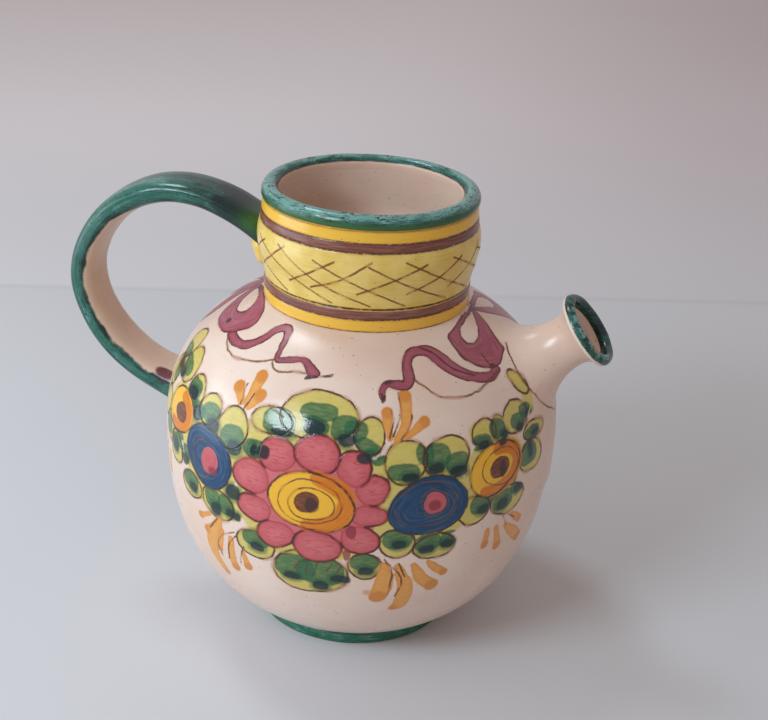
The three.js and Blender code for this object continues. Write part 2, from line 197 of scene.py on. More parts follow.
DARK_DOTS = (
    (1, 115.2, 4, 2.6), (10.7, 112, 3.3, 2.3), (15.8, 106.3, 2.8, 1.9), (-8.2, 111.6, 4.6, 1.4),
    (-12.6, 103.3, 2.4, 2.5), (-15.9, 103, 1.6, 2.2), (-22.4, 101, 3.4, 2.7), (-32.1, 105.4, 3.8, 2.3),
    (-45.9, 111, 4, 2.5), (-40.3, 105.7, 2.8, 2.5), (-59.2, 112.2, 3.5, 2), (-65, 113, 3.5, 2),
    (-51, 86.4, 3.4, 2.8), (-43.4, 84.7, 2.4, 2.4), (-39, 75, 3.1, 2), (-28.3, 72, 2.9, 2.8),
    (-22.9, 73.2, 2.1, 1.8), (-20.3, 72.8, 1.8, 1.8), (-21.6, 83.2, 3.8, 3.2), (-13.9, 62.5, 3.4, 1.9),
    (-3.6, 52.8, 3.5, 1.9), (5, 50.2, 3.2, 2.4), (10.7, 54.5, 4, 1.8), (17.6, 59.2, 3, 2.1),
    (26.3, 71.3, 2.9, 1.9), (34.3, 67.9, 3.1, 2), (40.3, 69, 2.8, 1.9), (51.3, 80.2, 2.9, 1.9),
    (58.8, 79, 3.1, 2.6), (65.1, 83.2, 2.7, 1.9), (70.9, 96.3, 1.6, 3.4), (74.2, 102, 2.6, 1.3),
    (67.3, 107, 2.6, 1.6), (72.5, 110.2, 2.2, 1.1), (51.6, 106.3, 2.6, 1.5), (59.9, 107.4, 2.2, 1.4),
    (35.9, 101.4, 3.4, 1.9), (42.5, 99, 3.8, 2.1), (28.5, 99, 3.2, 1.9), (58.8, 104.9, 2.2, 1.3),
)
PETAL_BASE = ((2, 88, 25, 21),)
PETALS_BACK = ((-8.5, 103.6, 7.5, 6.8), (-14.4, 80, 7.5, 5.7), (15.5, 73.5, 7.5, 6.2, -25),
               (18.4, 94.5, 6.4, 6.2))
PETALS_MIDDLE = ((-15.7, 93, 7.9, 7.2), (-8, 71, 7.7, 6, 10), (17.6, 84, 7.1, 4.6), (13.2, 102.5, 6.5, 7))
PETALS_FRONT = ((3, 106.3, 8.6, 7.4), (4, 69, 9.6, 6.9))
PETAL_SPOTS = ((13.2, 77, 1.9, 3.2), (12.2, 66.7, 1.6, 2.9))
GOLD_FLOWERS = ((2, 87.7, 16.1, 12.1, -8), (55.5, 95.7, 13, 10.2, 10), (-50.3, 101.7, 11.5, 8.9))
BLUE_FLOWERS = ((-32.4, 92.2, 14, 11.9, -10), (34.3, 86.7, 15.5, 12.5, 8))
PUPILS = ((0.8, 87.7, 4.9, 4.4, 30), (56.8, 95.8, 5.2, 4.4, 20), (-49.2, 101.2, 5.3, 3.9))
PUPIL_DARKS = ((2.3, 86.6, 2.7, 3.2), (57.9, 94.8, 1.9, 3.5))
HEARTS = ((-31.1, 91.5, 4.9, 5.5, -35), (35.6, 88, 4.7, 4.4))
HEART_DARKS = ((-29.5, 88, 2.7, 1.8), (35.6, 87, 2.7, 2.3))
OUTER_RINGS = ((1.5, 87.7, 11.8, 9.3), (33.4, 87.5, 11.9, 9.6), (57.5, 95.7, 9.5, 7.5))
INNER_RINGS = ((2, 87, 8.6, 6.8), (35.3, 88, 5.8, 5.4), (-34, 91, 6.8, 7.9))

# Brush strokes. Each knot has its bearing, level and half width.
AMBER_STROKES = (
    ((3.5, 98, 3), (9.5, 94.5, 3.5), (11.7, 90.5, 3.5), (11, 85, 3.5), (8.6, 80.5, 3.2), (1, 77.8, 2.4)),
    ((56.5, 103, 2.5), (62, 102, 3), (64.3, 96.3, 3), (61.5, 90, 3), (56, 87.2, 2.8), (51, 88, 2)),
    ((-50, 107.5, 2), (-45, 104.5, 2.5), (-44, 100.5, 2.5), (-47, 96.5, 2.5), (-54, 95.5, 2)),
)
SPRIGS = (
    ((-22.4, 117, 1.6), (-21.8, 122, 2.2), (-21.6, 126, 2.7)),
    ((-24.6, 116.8, 1.5), (-27.9, 121, 2.6)),
    ((-21.4, 116.4, 1.5), (-18.8, 120.6, 2.6)),
    ((22.9, 113, 1.2), (22.4, 117, 1.7), (22.3, 121, 2.1)),
    ((25, 112.3, 1.4), (28, 118, 2), (28.6, 125.6, 2.5)),
    ((27.5, 113, 1), (33.6, 117.7, 2.2)),
    ((-27.5, 67, 2), (-31.5, 57, 3.4), (-32.3, 49, 3), (-29, 40.5, 1.6)),
    ((-31, 68.3, 0.8), (-36, 64.6, 1.6)),
    ((-28.5, 64.5, 1), (-33.6, 59.3, 1.9)),
    ((-26.5, 63, 1.2), (-29, 53, 1.6)),
    ((-23.2, 61, 1.6), (-24, 53, 2), (-23.4, 47, 2.2)),
    ((-19, 57, 1), (-18.2, 50.3, 2)),
    ((22.7, 62, 1.6), (23, 53, 3.8), (21.6, 45.5, 3.4)),
    ((26.6, 61, 1.6), (29.4, 50, 3.2), (29, 41, 3), (27, 38.3, 1.8)),
    ((31, 61, 1.4), (34, 54, 2.6), (37.6, 49.2, 2.9)),
    ((35, 62, 1), (37.5, 58.5, 1.7), (40.6, 55, 1.8)),
    ((53.9, 69.3, 1.2), (53.8, 62.5, 1.9)),
    ((57.4, 69.3, 1.3), (59.5, 59.5, 2.1)),
    ((61.5, 68, 1.2), (66, 62.5, 2.6), (70, 57.8, 2.4)),
    ((63.6, 72.4, 1), (66, 69.6, 1.8), (68.4, 67.3, 1.7)),
    ((-57, 79, 1.2), (-58.5, 70, 2)),
    ((-61, 81, 1.2), (-63.5, 72, 2)),
    ((-65, 84, 1.2), (-69, 76, 2)),
)
EXTRA_TIPS = (((18.4, 48, 1.6),) * 2, ((20.9, 44.3, 1.7),) * 2)
LEFT_RIBBON = (
    (-49.7, 131.7, 2), (-44, 130.9, 2), (-38.3, 131.2, 1.9), (-34.5, 132.8, 1.8), (-31.7, 135.3, 1.8),
    (-30.3, 137.3, 1.8), (-27.4, 138.7, 2), (-24.1, 138.5, 1.7), (-21.8, 136.4, 1.3), (-20.8, 133.8, 1),
    (-19.6, 131.4, 0.9), (-14.7, 132.2, 1.3), (-9.9, 133, 1.2), (-6.6, 132, 1.5), (-4.2, 130.6, 2),
    (-2.3, 130.1, 1.2),
)
RIGHT_RIBBON = (
    (68, 126.8, 1.8), (63.3, 125.8, 2), (57.7, 127, 2), (52.9, 128.9, 2.5), (49.1, 131.2, 3),
    (45.8, 134.1, 3.2), (43, 136, 2.7), (38.7, 136.6, 2.2), (34.5, 136.2, 2), (32.1, 134.6, 1.8),
    (31.2, 132, 2), (31.2, 130.1, 2), (29.7, 128.3, 1.6), (26.4, 128.6, 1.8), (23.1, 129, 1.1),
    (21.2, 127.3, 1.3), (21.2, 125.5, 1.1),
)
HANDLE_STRAND = ((-88, 139.5, 2), (-85, 134, 4), (-82, 129, 3.5), (-84, 122, 1.5))
KNOTS = (((-5.6, 128.7, 1), (-3.6, 129.2, 0.7), (-1.2, 129.6, 0.5), (1, 129.9, 0.45), (3.4, 130.5, 0.7)),
         ((20.6, 126.3, 0.6), (21.3, 125, 1), (21.2, 124.2, 0.7)), ((22.6, 129.2, 0.7), (25.4, 129.5, 0.4)),
         ((67.3, 128.2, 1.1), (67.7, 128.2, 1.1)), ((-59.8, 132.8, 1.4), (-59, 132.8, 1.4)))

# Bows: closed outlines of bearings and levels, each with the loop's hole.
LEFT_BOW = (
    (-86, 139.5), (-78, 140.7), (-68, 141), (-59, 140.8), (-51, 140), (-46, 138.6), (-43.3, 136.9),
    (-44, 135), (-47.8, 132.8), (-52, 131), (-58.7, 130), (-65.8, 130.2), (-71, 131.6), (-75, 134),
    (-80, 137),
)
LEFT_BOW_HOLE = (
    (-80, 139.8), (-68, 140.1), (-62, 139.3), (-58.7, 138), (-57.7, 136.9), (-59.2, 135.9), (-63.4, 135.4),
    (-69, 136.2), (-74, 137.8),
)
RIGHT_BOW = (
    (90, 140.6), (80, 140.8), (70.5, 140.2), (61, 139), (57.2, 138.4), (56, 136.9), (56, 134.6), (57, 132.3),
    (59.6, 130.4), (63.8, 128.4), (67.1, 127.7), (70.5, 128), (73.7, 129.8), (77, 131.7), (78.3, 133.8),
    (81, 136), (86, 138.4),
)
RIGHT_BOW_HOLE = (
    (87, 140.4), (84.6, 139.7), (80, 138.6), (76.7, 137.5), (71.1, 135.7), (67, 135.1), (63.5, 135.6),
    (63.2, 137), (66.5, 138.6), (72.5, 139.6), (80, 140.2),
)

# Scratched lines: open paths of bearings and levels. Lines that lie close are in separate groups.
STEM_LINES = (
    ((-25.3, 122), (-24.6, 117)), ((23.8, 121.3), (24.2, 118), (23.1, 113.8)),
    ((29.8, 119.3), (28.9, 116.2), (26.7, 113.1)), ((-22.4, 64.7), (-27, 60.5), (-29.3, 55), (-28.5, 50.7)),
    ((-19, 59), (-20.3, 54), (-20.6, 51.5)), ((23, 64), (24.9, 59.5), (25, 52), (24.6, 47)),
    ((27, 61.7), (28.7, 56.4)), ((59.9, 73), (61.5, 68.7)), ((-1, 60.5), (-2.3, 57)), ((4, 60), (3.3, 55.5)),
    ((10.8, 60.5), (9.8, 58)), ((-14.6, 118.7), (-9.8, 116.8)),
    ((-27.5, 93.2), (-26.5, 90.3), (-27.5, 87.5)),
)
STEM_LINES_BETWEEN = (
    ((-21.3, 120), (-22.6, 115.4)), ((26.5, 126), (26.5, 120.5), (24.2, 114.3)),
    ((-21.6, 63), (-24.4, 57.7), (-25.5, 50.7)), ((-28.3, 67), (-31.6, 62)),
    ((23.5, 62.5), (26.8, 58), (28.2, 52), (27, 46)), ((62, 73), (65.4, 69.5)), ((1.5, 60.3), (1, 56)),
    ((8.2, 61.2), (7.2, 58.5)),
)
RIBBON_LOOPS = (
    ((-49.7, 130.9), (-45, 128.6), (-38.8, 127.4), (-32.7, 128), (-25.5, 129.5), (-21.3, 131)),
    ((-20.6, 130.1), (-18.9, 129), (-16.1, 128.6), (-11.3, 129.5), (-6.6, 130)),
    ((33, 129.6), (36.4, 127.3), (40.1, 124.6), (44.4, 123.3), (49.1, 122.7), (52.9, 122.9), (58.6, 124),
     (63.3, 125.2), (68.1, 126.5)),
)
RIBBON_FOLDS = (
    ((39.7, 137.1), (44.4, 135.6), (46.3, 133.7), (50, 130.6), (56.2, 128)), ((66.2, 132), (66.2, 128.7)),
)

# The fields that the coats of paint name.
GARLAND_OVALS = {
    "wash": LEAF_WASH, "leaf_a": LEAVES_BEHIND, "leaf_b": LEAVES_BEFORE, "petal_base": PETAL_BASE,
    "petal_a": PETALS_BACK, "petal_b": PETALS_MIDDLE, "petal_c": PETALS_FRONT, "petal_spot": PETAL_SPOTS,
    "gold": GOLD_FLOWERS, "pupil": PUPILS, "pupil_dark": PUPIL_DARKS, "blue": BLUE_FLOWERS, "heart": HEARTS,
    "heart_dark": HEART_DARKS, "ring_outer": OUTER_RINGS, "ring_inner": INNER_RINGS,
}
LEAF_FIELDS = ("leaf_a", "leaf_b")
GARLAND_DABS = {"dab_a": DABS_FIRST, "dab_b": DABS_SECOND}
GARLAND_STROKES = {
    "amber": AMBER_STROKES, "sprig": SPRIGS, "ribbon": (LEFT_RIBBON, RIGHT_RIBBON, HANDLE_STRAND),
    "knot": KNOTS, "tip": tuple((path[-1], path[-1]) for path in SPRIGS) + EXTRA_TIPS,
}
GARLAND_LINES = {
    "stem": STEM_LINES, "stem_between": STEM_LINES_BETWEEN, "loop": RIBBON_LOOPS, "fold": RIBBON_FOLDS,
}
# Fullness of the green dabs and of the dark dots.
DAB_FULLNESS = 2.6
DOT_FULLNESS = 2.4

# The scratched line round the spout's root: angle round the spout's axis, 0 on top and negative
# towards the front, and distance from that axis.
SPOUT_ROOT_LINE = ((-38, 18), (-65, 18.2), (-88, 18.4), (-116, 18.2), (-162, 19.8), (-187, 23))
SPOUT_ROOT_LINE_FADE = 2.0
SPOUT_ROOT_LINE_REACH = 28.0

# The neck's bands, as heights above the shoulder, and its scratched trellis.
LOWER_YELLOW_TOP = 5.0
LOWER_BROWN_TOP = 8.5
GROOVE_TOP = 9.5
BULGE_TOP = 32.2
UPPER_BROWN_TOP = 35.7
UPPER_YELLOW_TOP = 40.0
GROOVE_DEPTH = 0.9
CUT_DEPTH = 0.22
CUT_WIDTH = 0.35
INSIDE_CREASE_RISE = 22.0
INSIDE_CREASE_STEP = 0.9
INSIDE_CREASE_SOFT = 0.6
INSIDE_STRIDE = 6
INSIDE_EASE = 0.08
TRELLIS_COUNT = 15
TRELLIS_TOP_RISE = 27.5
FALLING_LINES = SimpleNamespace(start=-59, turn=48, bottom_rise=11)
RISING_LINES = SimpleNamespace(start=-6, turn=-29, bottom_rise=16)
TRELLIS_DEPTH = 0.28
TRELLIS_WIDTH = 0.32
TRELLIS_BURR = 0.09
TRELLIS_BURR_PLACE = 2.2
TRELLIS_STRAY = 3
TRELLIS_TURN_STRAY = 4
TRELLIS_SAG = 0.6
TRELLIS_SAG_STRAY = 0.5

# Camera and light.
CAMERA_PLACE = (0.1371, -0.5370, 0.3590)
CAMERA_HEADING = math.radians(-13.45)
CAMERA_PITCH = math.radians(24.04)
CAMERA_ROLL = math.radians(3.01)
CAMERA_LENS = 69.375
Light = namedtuple("Light", "name direction distance size power")
LIGHT_AIM = Vector((0, 0, 0.1))
LIGHTS = (
    Light("window_light", (-0.46, -0.73, 0.51), 1.3, (0.52, 0.3), 8.2),
    Light("side_light", (-0.93, -0.34, 0.12), 0.7, (0.5, 0.4), 1.9),
    Light("roof_light", (-0.42, 0.2, 0.885), 1.3, (0.3, 0.3), 3.4),
)
SKY_STRENGTH = 0.41
FLOOR_SIZE = 40.0
FLOOR_FADE_RUN = (1.4, 3.2)
FLOOR_DROP = 0.00005
WALL_LINE_DISTANCE = 0.356
WALL_LINE_TURN = math.radians(18)
WALL_LINE_SHADE = (0.25, 0.22, 0.25, 1)
WALL_SHADE_RUN = (-0.3, 0.2)
WALL_FADE_RUN = 0.5


def length(name, description, metres):
    """A length that a user may change."""
    return bpy.props.FloatProperty(name=name, description=description, default=metres, min=0.0,
                                   precision=5, unit="LENGTH")


def shade(name, description, red, green, blue):
    """A colour that a user may change, written as it looks on screen, from 0 to 255."""
    seen = np.array((red, green, blue)) / 255
    linear = np.where(seen <= 0.04045, seen / 12.92, ((seen + 0.055) / 1.055) ** 2.4)
    return bpy.props.FloatVectorProperty(name=name, description=description, size=4, min=0.0, max=1.0,
                                         default=(*linear.tolist(), 1.0), subtype="COLOR")


class JugSizes(bpy.types.PropertyGroup):
    """Lengths of the clay pieces. Those that the frame shows come from it."""

    foot_radius: length("Foot radius", "Outer radius of the foot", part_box("foot_disc")[1].x)
    foot_height: length("Foot height", "Height of the foot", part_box("foot_disc")[1].z)
    foot_edge: length("Foot edge", "Rounding of the foot's edges", 1.4 * MM)
    belly_radius: length("Belly radius", "Radius at the widest level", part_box("belly")[1].x)
    belly_base: length("Belly base", "Radius where the belly meets the foot", 38 * MM)
    belly_lower: length("Lower belly", "Height from the foot to the widest level", 82 * MM)
    belly_wall: length("Belly wall", "Thickness of the belly's wall", 5.5 * MM)
    belly_floor: length("Belly floor", "Thickness of the belly's floor", 7 * MM)
    neck_level: length("Neck level", "Level where the neck sits on the belly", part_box("neck_collar")[0].z)
    neck_radius: length("Neck radius", "Radius at the neck's foot", 41.2 * MM)
    neck_top: length("Neck top", "Radius under the rim", 42.3 * MM)
    neck_wall: length("Neck wall", "Thickness of the neck's wall", 5.8 * MM)
    neck_swell: length("Neck swell", "How far the trellised bulge stands out", 1.7 * MM)
    lap_height: length("Lap height", "Height of the belly's lip inside the neck", 2.5 * MM)
    lap_wall: length("Lap wall", "Thickness of the belly's lip", 2.6 * MM)
    rim_level: length("Rim level", "Level where the rim sits on the neck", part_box("rim_roll")[0].z)
    rim_top: length("Rim top", "Level of the rim's crest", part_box("rim_roll")[1].z)
    rim_radius: length("Rim radius", "Outer radius of the rim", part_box("rim_roll")[1].x)
    rim_mouth: length("Rim mouth", "Inner radius of the rim", 36.1 * MM)
    spout_rise: length("Spout rise", "Root of the spout's axis above the widest level", 33.8 * MM)
    spout_length: length("Spout length", "Length of the trumpet along its axis", 26 * MM)
    spout_waist: length("Spout waist", "Radius at the trumpet's waist", 10.45 * MM)
    spout_waist_place: length("Waist place", "Distance of the waist from the root", 18.4 * MM)
    spout_fillet: length("Spout fillet", "Radius of the hollow curve at the root", 26 * MM)
    spout_skirt: length("Spout skirt", "Straight run below the hollow curve", 34 * MM)
    spout_blend: length("Spout blend", "Distance over which the root runs into the belly", 5 * MM)
    spout_flare: length("Spout flare", "Radius of the curve at the mouth", 9.2 * MM)
    spout_wall: length("Spout wall", "Thickness of the trumpet's wall", 3.3 * MM)
    lip_height: length("Lip height", "Height of the spout's lip", 4 * MM)
    lip_proud: length("Lip proud", "How far the lip stands out from the mouth", 1.2 * MM)
    seam: length("Seam", "Thickness of a luted seam", 0.3 * MM)
    handle_top_rise: length("Handle top", "Upper joint above the shoulder", 21.5 * MM)
    handle_top_arm: length("Handle top arm", "How far the top holds its direction", 57 * MM)
    handle_reach: length("Handle reach", "Farthest point of the grip from the axis", 120.8 * MM)
    handle_grip_rise: length("Grip rise", "Farthest point above the widest level", 47 * MM)
    handle_grip_up: length("Grip arm up", "How far the grip runs straight upwards", 23 * MM)
    handle_grip_down: length("Grip arm down", "How far the grip runs straight downwards", 17.4 * MM)
    handle_root_rise: length("Handle root", "Lower joint above the widest level", 2.6 * MM)
    handle_root_arm: length("Handle root arm", "How far the root holds its direction", 26.5 * MM)
    handle_top_width: length("Handle top width", "Width of the strap at its top", 24 * MM)
    handle_root_width: length("Handle root width", "Width of the strap at its root", 22 * MM)
    handle_top_depth: length("Handle top depth", "Thickness of the strap at its top", 9.3 * MM)
    handle_root_depth: length("Handle root depth", "Thickness of the strap at its root", 12.6 * MM)
    handle_sink: length("Handle sink", "How far the strap's ends run into the walls", 1.6 * MM)
    wad_width: length("Wad width", "Width of the lump under the handle", 20 * MM)
    wad_height: length("Wad height", "Height of the lump under the handle", 19 * MM)
    wad_proud: length("Wad proud", "How far the lump stands out", 8 * MM)
    wad_drop: length("Wad drop", "The lump's middle below the upper joint", 7 * MM)


class GlazeColours(bpy.types.PropertyGroup):
    """Colours of the glazes and of the garland's paints."""

    tin: shade("Tin white", "Ground glaze in the light", 237, 214, 200)
    # The warm tin is also painted as shade on the side towards the spout.
    tin_warm: shade("Warm tin white", "Ground glaze where it is thin", 226, 194, 175)
    bare: shade("Bare", "Thin ground glaze under the handle", 213, 184, 164)
    clay: shade("Clay", "Bare fired clay", 196, 150, 116)
    speck: shade("Speck", "Pinholes and specks", 96, 78, 66)
    ink: shade("Ink", "Scratched lines", 70, 42, 30)
    sepia: shade("Sepia", "Thinner scratched lines", 112, 70, 34)
    rose_ink: shade("Rose ink", "Scratched lines on rose and plum", 92, 34, 36)
    rust: shade("Rust", "Brown that spreads from the scratched lines", 190, 134, 98)
    leaf_wash: shade("Leaf wash", "Thin yellow green round the flowers", 212, 194, 102)
    leaf_light: shade("Leaf light", "Yellow green of the leaves", 211, 194, 98)
    leaf_green: shade("Leaf green", "Green dabs on the leaves", 40, 110, 72)
    leaf_dark: shade("Leaf dark", "Dark dots on the leaves", 12, 42, 46)
    petal: shade("Petal", "Rose of the petals", 200, 92, 99)
    petal_light: shade("Petal light", "Thin rose under the petals", 206, 106, 110)
    petal_pale: shade("Petal pale", "Thin rose in the middle of a petal", 226, 140, 138)
    petal_deep: shade("Petal deep", "Dark strokes on the petals", 142, 40, 58)
    gold: shade("Gold", "Yellow flowers", 243, 186, 48)
    amber: shade("Amber", "Orange strokes on the yellow flowers", 216, 120, 14)
    pupil: shade("Pupil", "Brown hearts of the yellow flowers", 116, 62, 38)
    pupil_dark: shade("Pupil dark", "Dark stroke on a brown heart", 66, 38, 34)
    blue: shade("Blue", "Blue flowers", 8, 66, 108)
    heart: shade("Heart", "Pink hearts of the blue flowers", 200, 94, 100)
    sprig: shade("Sprig", "Ochre sprigs", 230, 164, 80)
    sprig_tip: shade("Sprig tip", "Pooled ochre at the tips", 206, 124, 44)
    ribbon: shade("Ribbon", "Plum ribbons", 166, 84, 100)
    ribbon_dark: shade("Ribbon dark", "Dark knots on the ribbons", 84, 44, 46)
    ochre: shade("Ochre", "Yellow bands of the neck", 240, 188, 62)
    straw: shade("Straw", "Pale yellow of the trellis", 236, 206, 116)
    straw_green: shade("Straw green", "Deeper yellow in the trellis", 226, 192, 94)
    trellis: shade("Trellis", "Lines scratched in the pale yellow", 120, 68, 20)
    umber: shade("Umber", "Brown bands of the neck", 134, 76, 60)
    green_deep: shade("Green deep", "Copper green where it pools", 14, 42, 38)
    green: shade("Green", "Copper green", 44, 106, 92)
    # The thin green is also the colour of the painted highlights and light on the rim, the lip and the strap.
    green_light: shade("Green light", "Copper green where it is thin", 116, 164, 156)
    green_leaf: shade("Green leaf", "Grassy copper green at a joint", 52, 98, 40)
    foot_green: shade("Foot green", "Copper green of the foot", 28, 106, 80)
    plum_blot: shade("Plum blot", "Blot at the handle's root", 92, 34, 46)
    table: shade("Table", "Pale table", 211, 212, 217)
    wall: shade("Wall", "Paler ground beyond the table", 244, 240, 245)
    wall_shade: shade("Wall shade", "The same where it is shaded", 222, 213, 219)
    backdrop: shade("Backdrop", "What the camera sees above the table", 190, 180, 188)
    sky: shade("Sky", "Light of the room", 255, 240, 231)
    window: shade("Window", "Light of the window", 228, 245, 255)


def millimetres(group):
    """A group's lengths in millimetres, under their own names, and the belly's widest level."""
    size = SimpleNamespace(**{name: getattr(group, name) / MM for name in group.__annotations__})
    size.widest_level = size.foot_height + size.belly_lower
    return size


# Points and outlines


def stacked(*columns):
    """Points from their columns of coordinates."""
    return np.stack(columns, axis=1)


def unit(vectors):
    """The same directions with a length of 1."""
    return vectors / np.linalg.norm(vectors, axis=1, keepdims=True)


def travelled(curve):
    """The distance travelled along a curve up to each of its points."""
    steps = np.linalg.norm(np.diff(curve, axis=0), axis=1)
    return np.concatenate(((0,), np.cumsum(steps)))


def polar(points):
    """Distances from the Z axis and angles round it."""
    return np.hypot(points[:, 0], points[:, 1]), np.arctan2(points[:, 1], points[:, 0])


def quarter(size, end_radius, height, fullness, direction, offset):
    """A quarter of the belly's outline from its widest level, pushed out along its normal by offset."""
    end = math.acos((end_radius / size.belly_radius) ** (fullness / 2))
    depth = height / math.sin(end) ** (2 / fullness)
    angle = np.linspace(0, end, QUARTER_STEPS)
    across, along = np.cos(angle), np.sin(angle)
    normal = unit(stacked(across ** (2 - 2 / fullness) / size.belly_radius,
                          direction * along ** (2 - 2 / fullness) / depth))
    curve = stacked(size.belly_radius * across ** (2 / fullness),
                    size.widest_level + direction * depth * along ** (2 / fullness))
    return curve + offset * normal


def belly_curve(size, offset=0.0):
    """Radius and level along the belly, from the foot to the neck."""
    lower = quarter(size, size.belly_base, size.belly_lower, LOWER_FULLNESS, -1, offset)
    upper_height = size.neck_level - size.foot_height - size.belly_lower
    upper = quarter(size, size.neck_radius, upper_height, UPPER_FULLNESS, 1, offset)
    return np.concatenate((lower[::-1], upper[1:]))


def neck_curve(size):
    """Radius and level up the neck's outside, with its groove, bulge and cut lines."""
    rise = np.linspace(0, size.rim_level - size.neck_level, NECK_STEPS)
    radius = np.full(NECK_STEPS, size.neck_radius)
    part = np.clip((rise - GROOVE_TOP) / (BULGE_TOP - GROOVE_TOP), 0, 1)
    radius += (size.rim_radius - size.neck_radius) * part
    radius += size.neck_swell * np.sin(np.pi * part ** CREST_POWER)
    taper = np.clip((rise - BULGE_TOP) / (rise[-1] - BULGE_TOP), 0, 1)
    radius += (size.neck_top - size.rim_radius) * taper
    groove = (LOWER_BROWN_TOP + GROOVE_TOP) / 2
    radius -= GROOVE_DEPTH * np.exp(-((rise - groove) / (GROOVE_TOP - LOWER_BROWN_TOP)) ** 2 * 4)
    for cut in (0.0, LOWER_YELLOW_TOP, BULGE_TOP, UPPER_BROWN_TOP, UPPER_YELLOW_TOP):
        radius -= CUT_DEPTH * np.exp(-((rise - cut) / CUT_WIDTH) ** 2)
    return stacked(radius, size.neck_level + rise)


def even(curve, count):
    """The same curve with count points at equal distances along it."""
    travel = travelled(curve)
    wanted = np.linspace(0, travel[-1], count)
    return stacked(*(np.interp(wanted, travel, column) for column in curve.T))


def roll_curve(inner, outer, seat, height):
    """A coil's closed outline: a flat seat, a round top, an upright inside and a tucked outer edge."""
    middle, half = (inner + outer) / 2, (outer - inner) / 2
    rise = height / (1 + math.sin(RIM_TUCK))
    centre = seat + rise * math.sin(RIM_TUCK)
    angle = np.linspace(-RIM_TUCK, math.pi + RIM_TUCK, ROLL_STEPS)
    curve = stacked(middle + half * np.cos(angle), centre + rise * np.sin(angle))
    curve[angle > math.pi, 0] = inner
    curve[(0, -1), 1] = seat
    return np.concatenate((curve, curve[:1]))


def arc(centre_radius, centre_level, radius, start, end):
    """A round edge in an outline, from one angle to another in degrees."""
    angle = np.radians(np.linspace(start, end, EDGE_STEPS))
    return stacked(centre_radius + radius * np.cos(angle), centre_level + radius * np.sin(angle))


def smooth_path(knots, closed=False):
    """A smooth curve through the knots."""
    knots = np.asarray(knots, float)
    if closed:
        ring = np.concatenate((knots[-1:], knots, knots[:2]))
    else:
        ring = np.concatenate((2 * knots[:1] - knots[1:2], knots, 2 * knots[-1:] - knots[-2:-1]))
    part = np.linspace(0, 1, SPAN_STEPS, endpoint=False)[:, None]
    spans = []
    for a, b, c, d in zip(ring, ring[1:], ring[2:], ring[3:]):
        bend = (2 * a - 5 * b + 4 * c - d) * part ** 2 + (3 * b - a - 3 * c + d) * part ** 3
        spans.append(b + ((c - a) * part + bend) / 2)
    curve = np.concatenate(spans)
    return curve if closed else np.concatenate((curve, knots[-1:]))


# Meshes


def new_piece(name, add, **settings):
    """A piece that starts as one of Blender's basic meshes and is alone in the selection."""
    bpy.ops.object.select_all(action="DESELECT")
    add(**settings)
    piece = bpy.context.object
    piece.name = piece.data.name = name
    return piece


def turned(name, outline, columns):
    """A piece turned about Z: one corner is drawn out along the outline, and the line is turned round."""
    piece = new_piece(name, bpy.ops.mesh.primitive_plane_add, size=MM)
    bpy.ops.object.mode_set(mode="EDIT")
    bpy.ops.mesh.select_all(action="SELECT")
    bpy.ops.mesh.merge(type="CENTER")
    points = stacked(outline[:, 0], np.zeros(len(outline)), outline[:, 1]) * MM
    bpy.ops.transform.translate(value=points[0])
    for step in np.diff(points, axis=0):
        bpy.ops.mesh.extrude_vertices_move(TRANSFORM_OT_translate={"value": step})
    bpy.ops.object.mode_set(mode="OBJECT")
    lathe = piece.modifiers.new("lathe", "SCREW")
    lathe.angle = math.tau
    lathe.steps = lathe.render_steps = columns
    lathe.use_merge_vertices = True
    lathe.merge_threshold = WELD
    bpy.ops.object.modifier_apply(modifier=lathe.name)
    bpy.ops.object.mode_set(mode="EDIT")
    finish_edit()
    return piece


def finish_edit():
    """Closes the seams, turns the faces outwards and leaves edit mode with smooth shading."""
    bpy.ops.mesh.select_all(action="SELECT")
    bpy.ops.mesh.remove_doubles(threshold=WELD)
    bpy.ops.mesh.normals_make_consistent(inside=False)
    bpy.ops.object.mode_set(mode="OBJECT")
    bpy.ops.object.shade_smooth_by_angle(angle=SHARP_ANGLE)


def corners(piece):
    """The mesh's corners in millimetres."""
    flat = np.empty(len(piece.data.vertices) * 3, np.float32)
    piece.data.vertices.foreach_get("co", flat)
    return flat.reshape(-1, 3).astype(float) / MM


def move_corners(piece, points):
    """Puts the mesh's corners at these places, in millimetres."""
    piece.data.vertices.foreach_set("co", (points * MM).astype(np.float32).ravel())
    piece.data.update()


def store_field(piece, name, values):
    """Keeps one value, or one vector, for each corner as a named attribute."""
    values = np.asarray(values, np.float32)
    kind, key = ("FLOAT", "value") if values.ndim == 1 else ("FLOAT_VECTOR", "vector")
    piece.data.attributes.new(name, kind, "POINT").data.foreach_set(key, values.ravel())


def dress(piece, node, material):
    """Gives a piece its finish and puts it in the place of its frame node."""
    piece.data.materials.clear()
    piece.data.materials.append(material)
    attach(piece, BODY)
    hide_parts(node)


def drift(position, seed):
    """A slow uneven wave between -1 and 1, always the same for the same seed."""
    return (np.sin(position + seed * 1.7) + np.sin(position * 2.3 + seed * 4.1) * 0.6
            + np.sin(position * 4.7 + seed * 2.9) * 0.3) / 1.9


# The painted surface


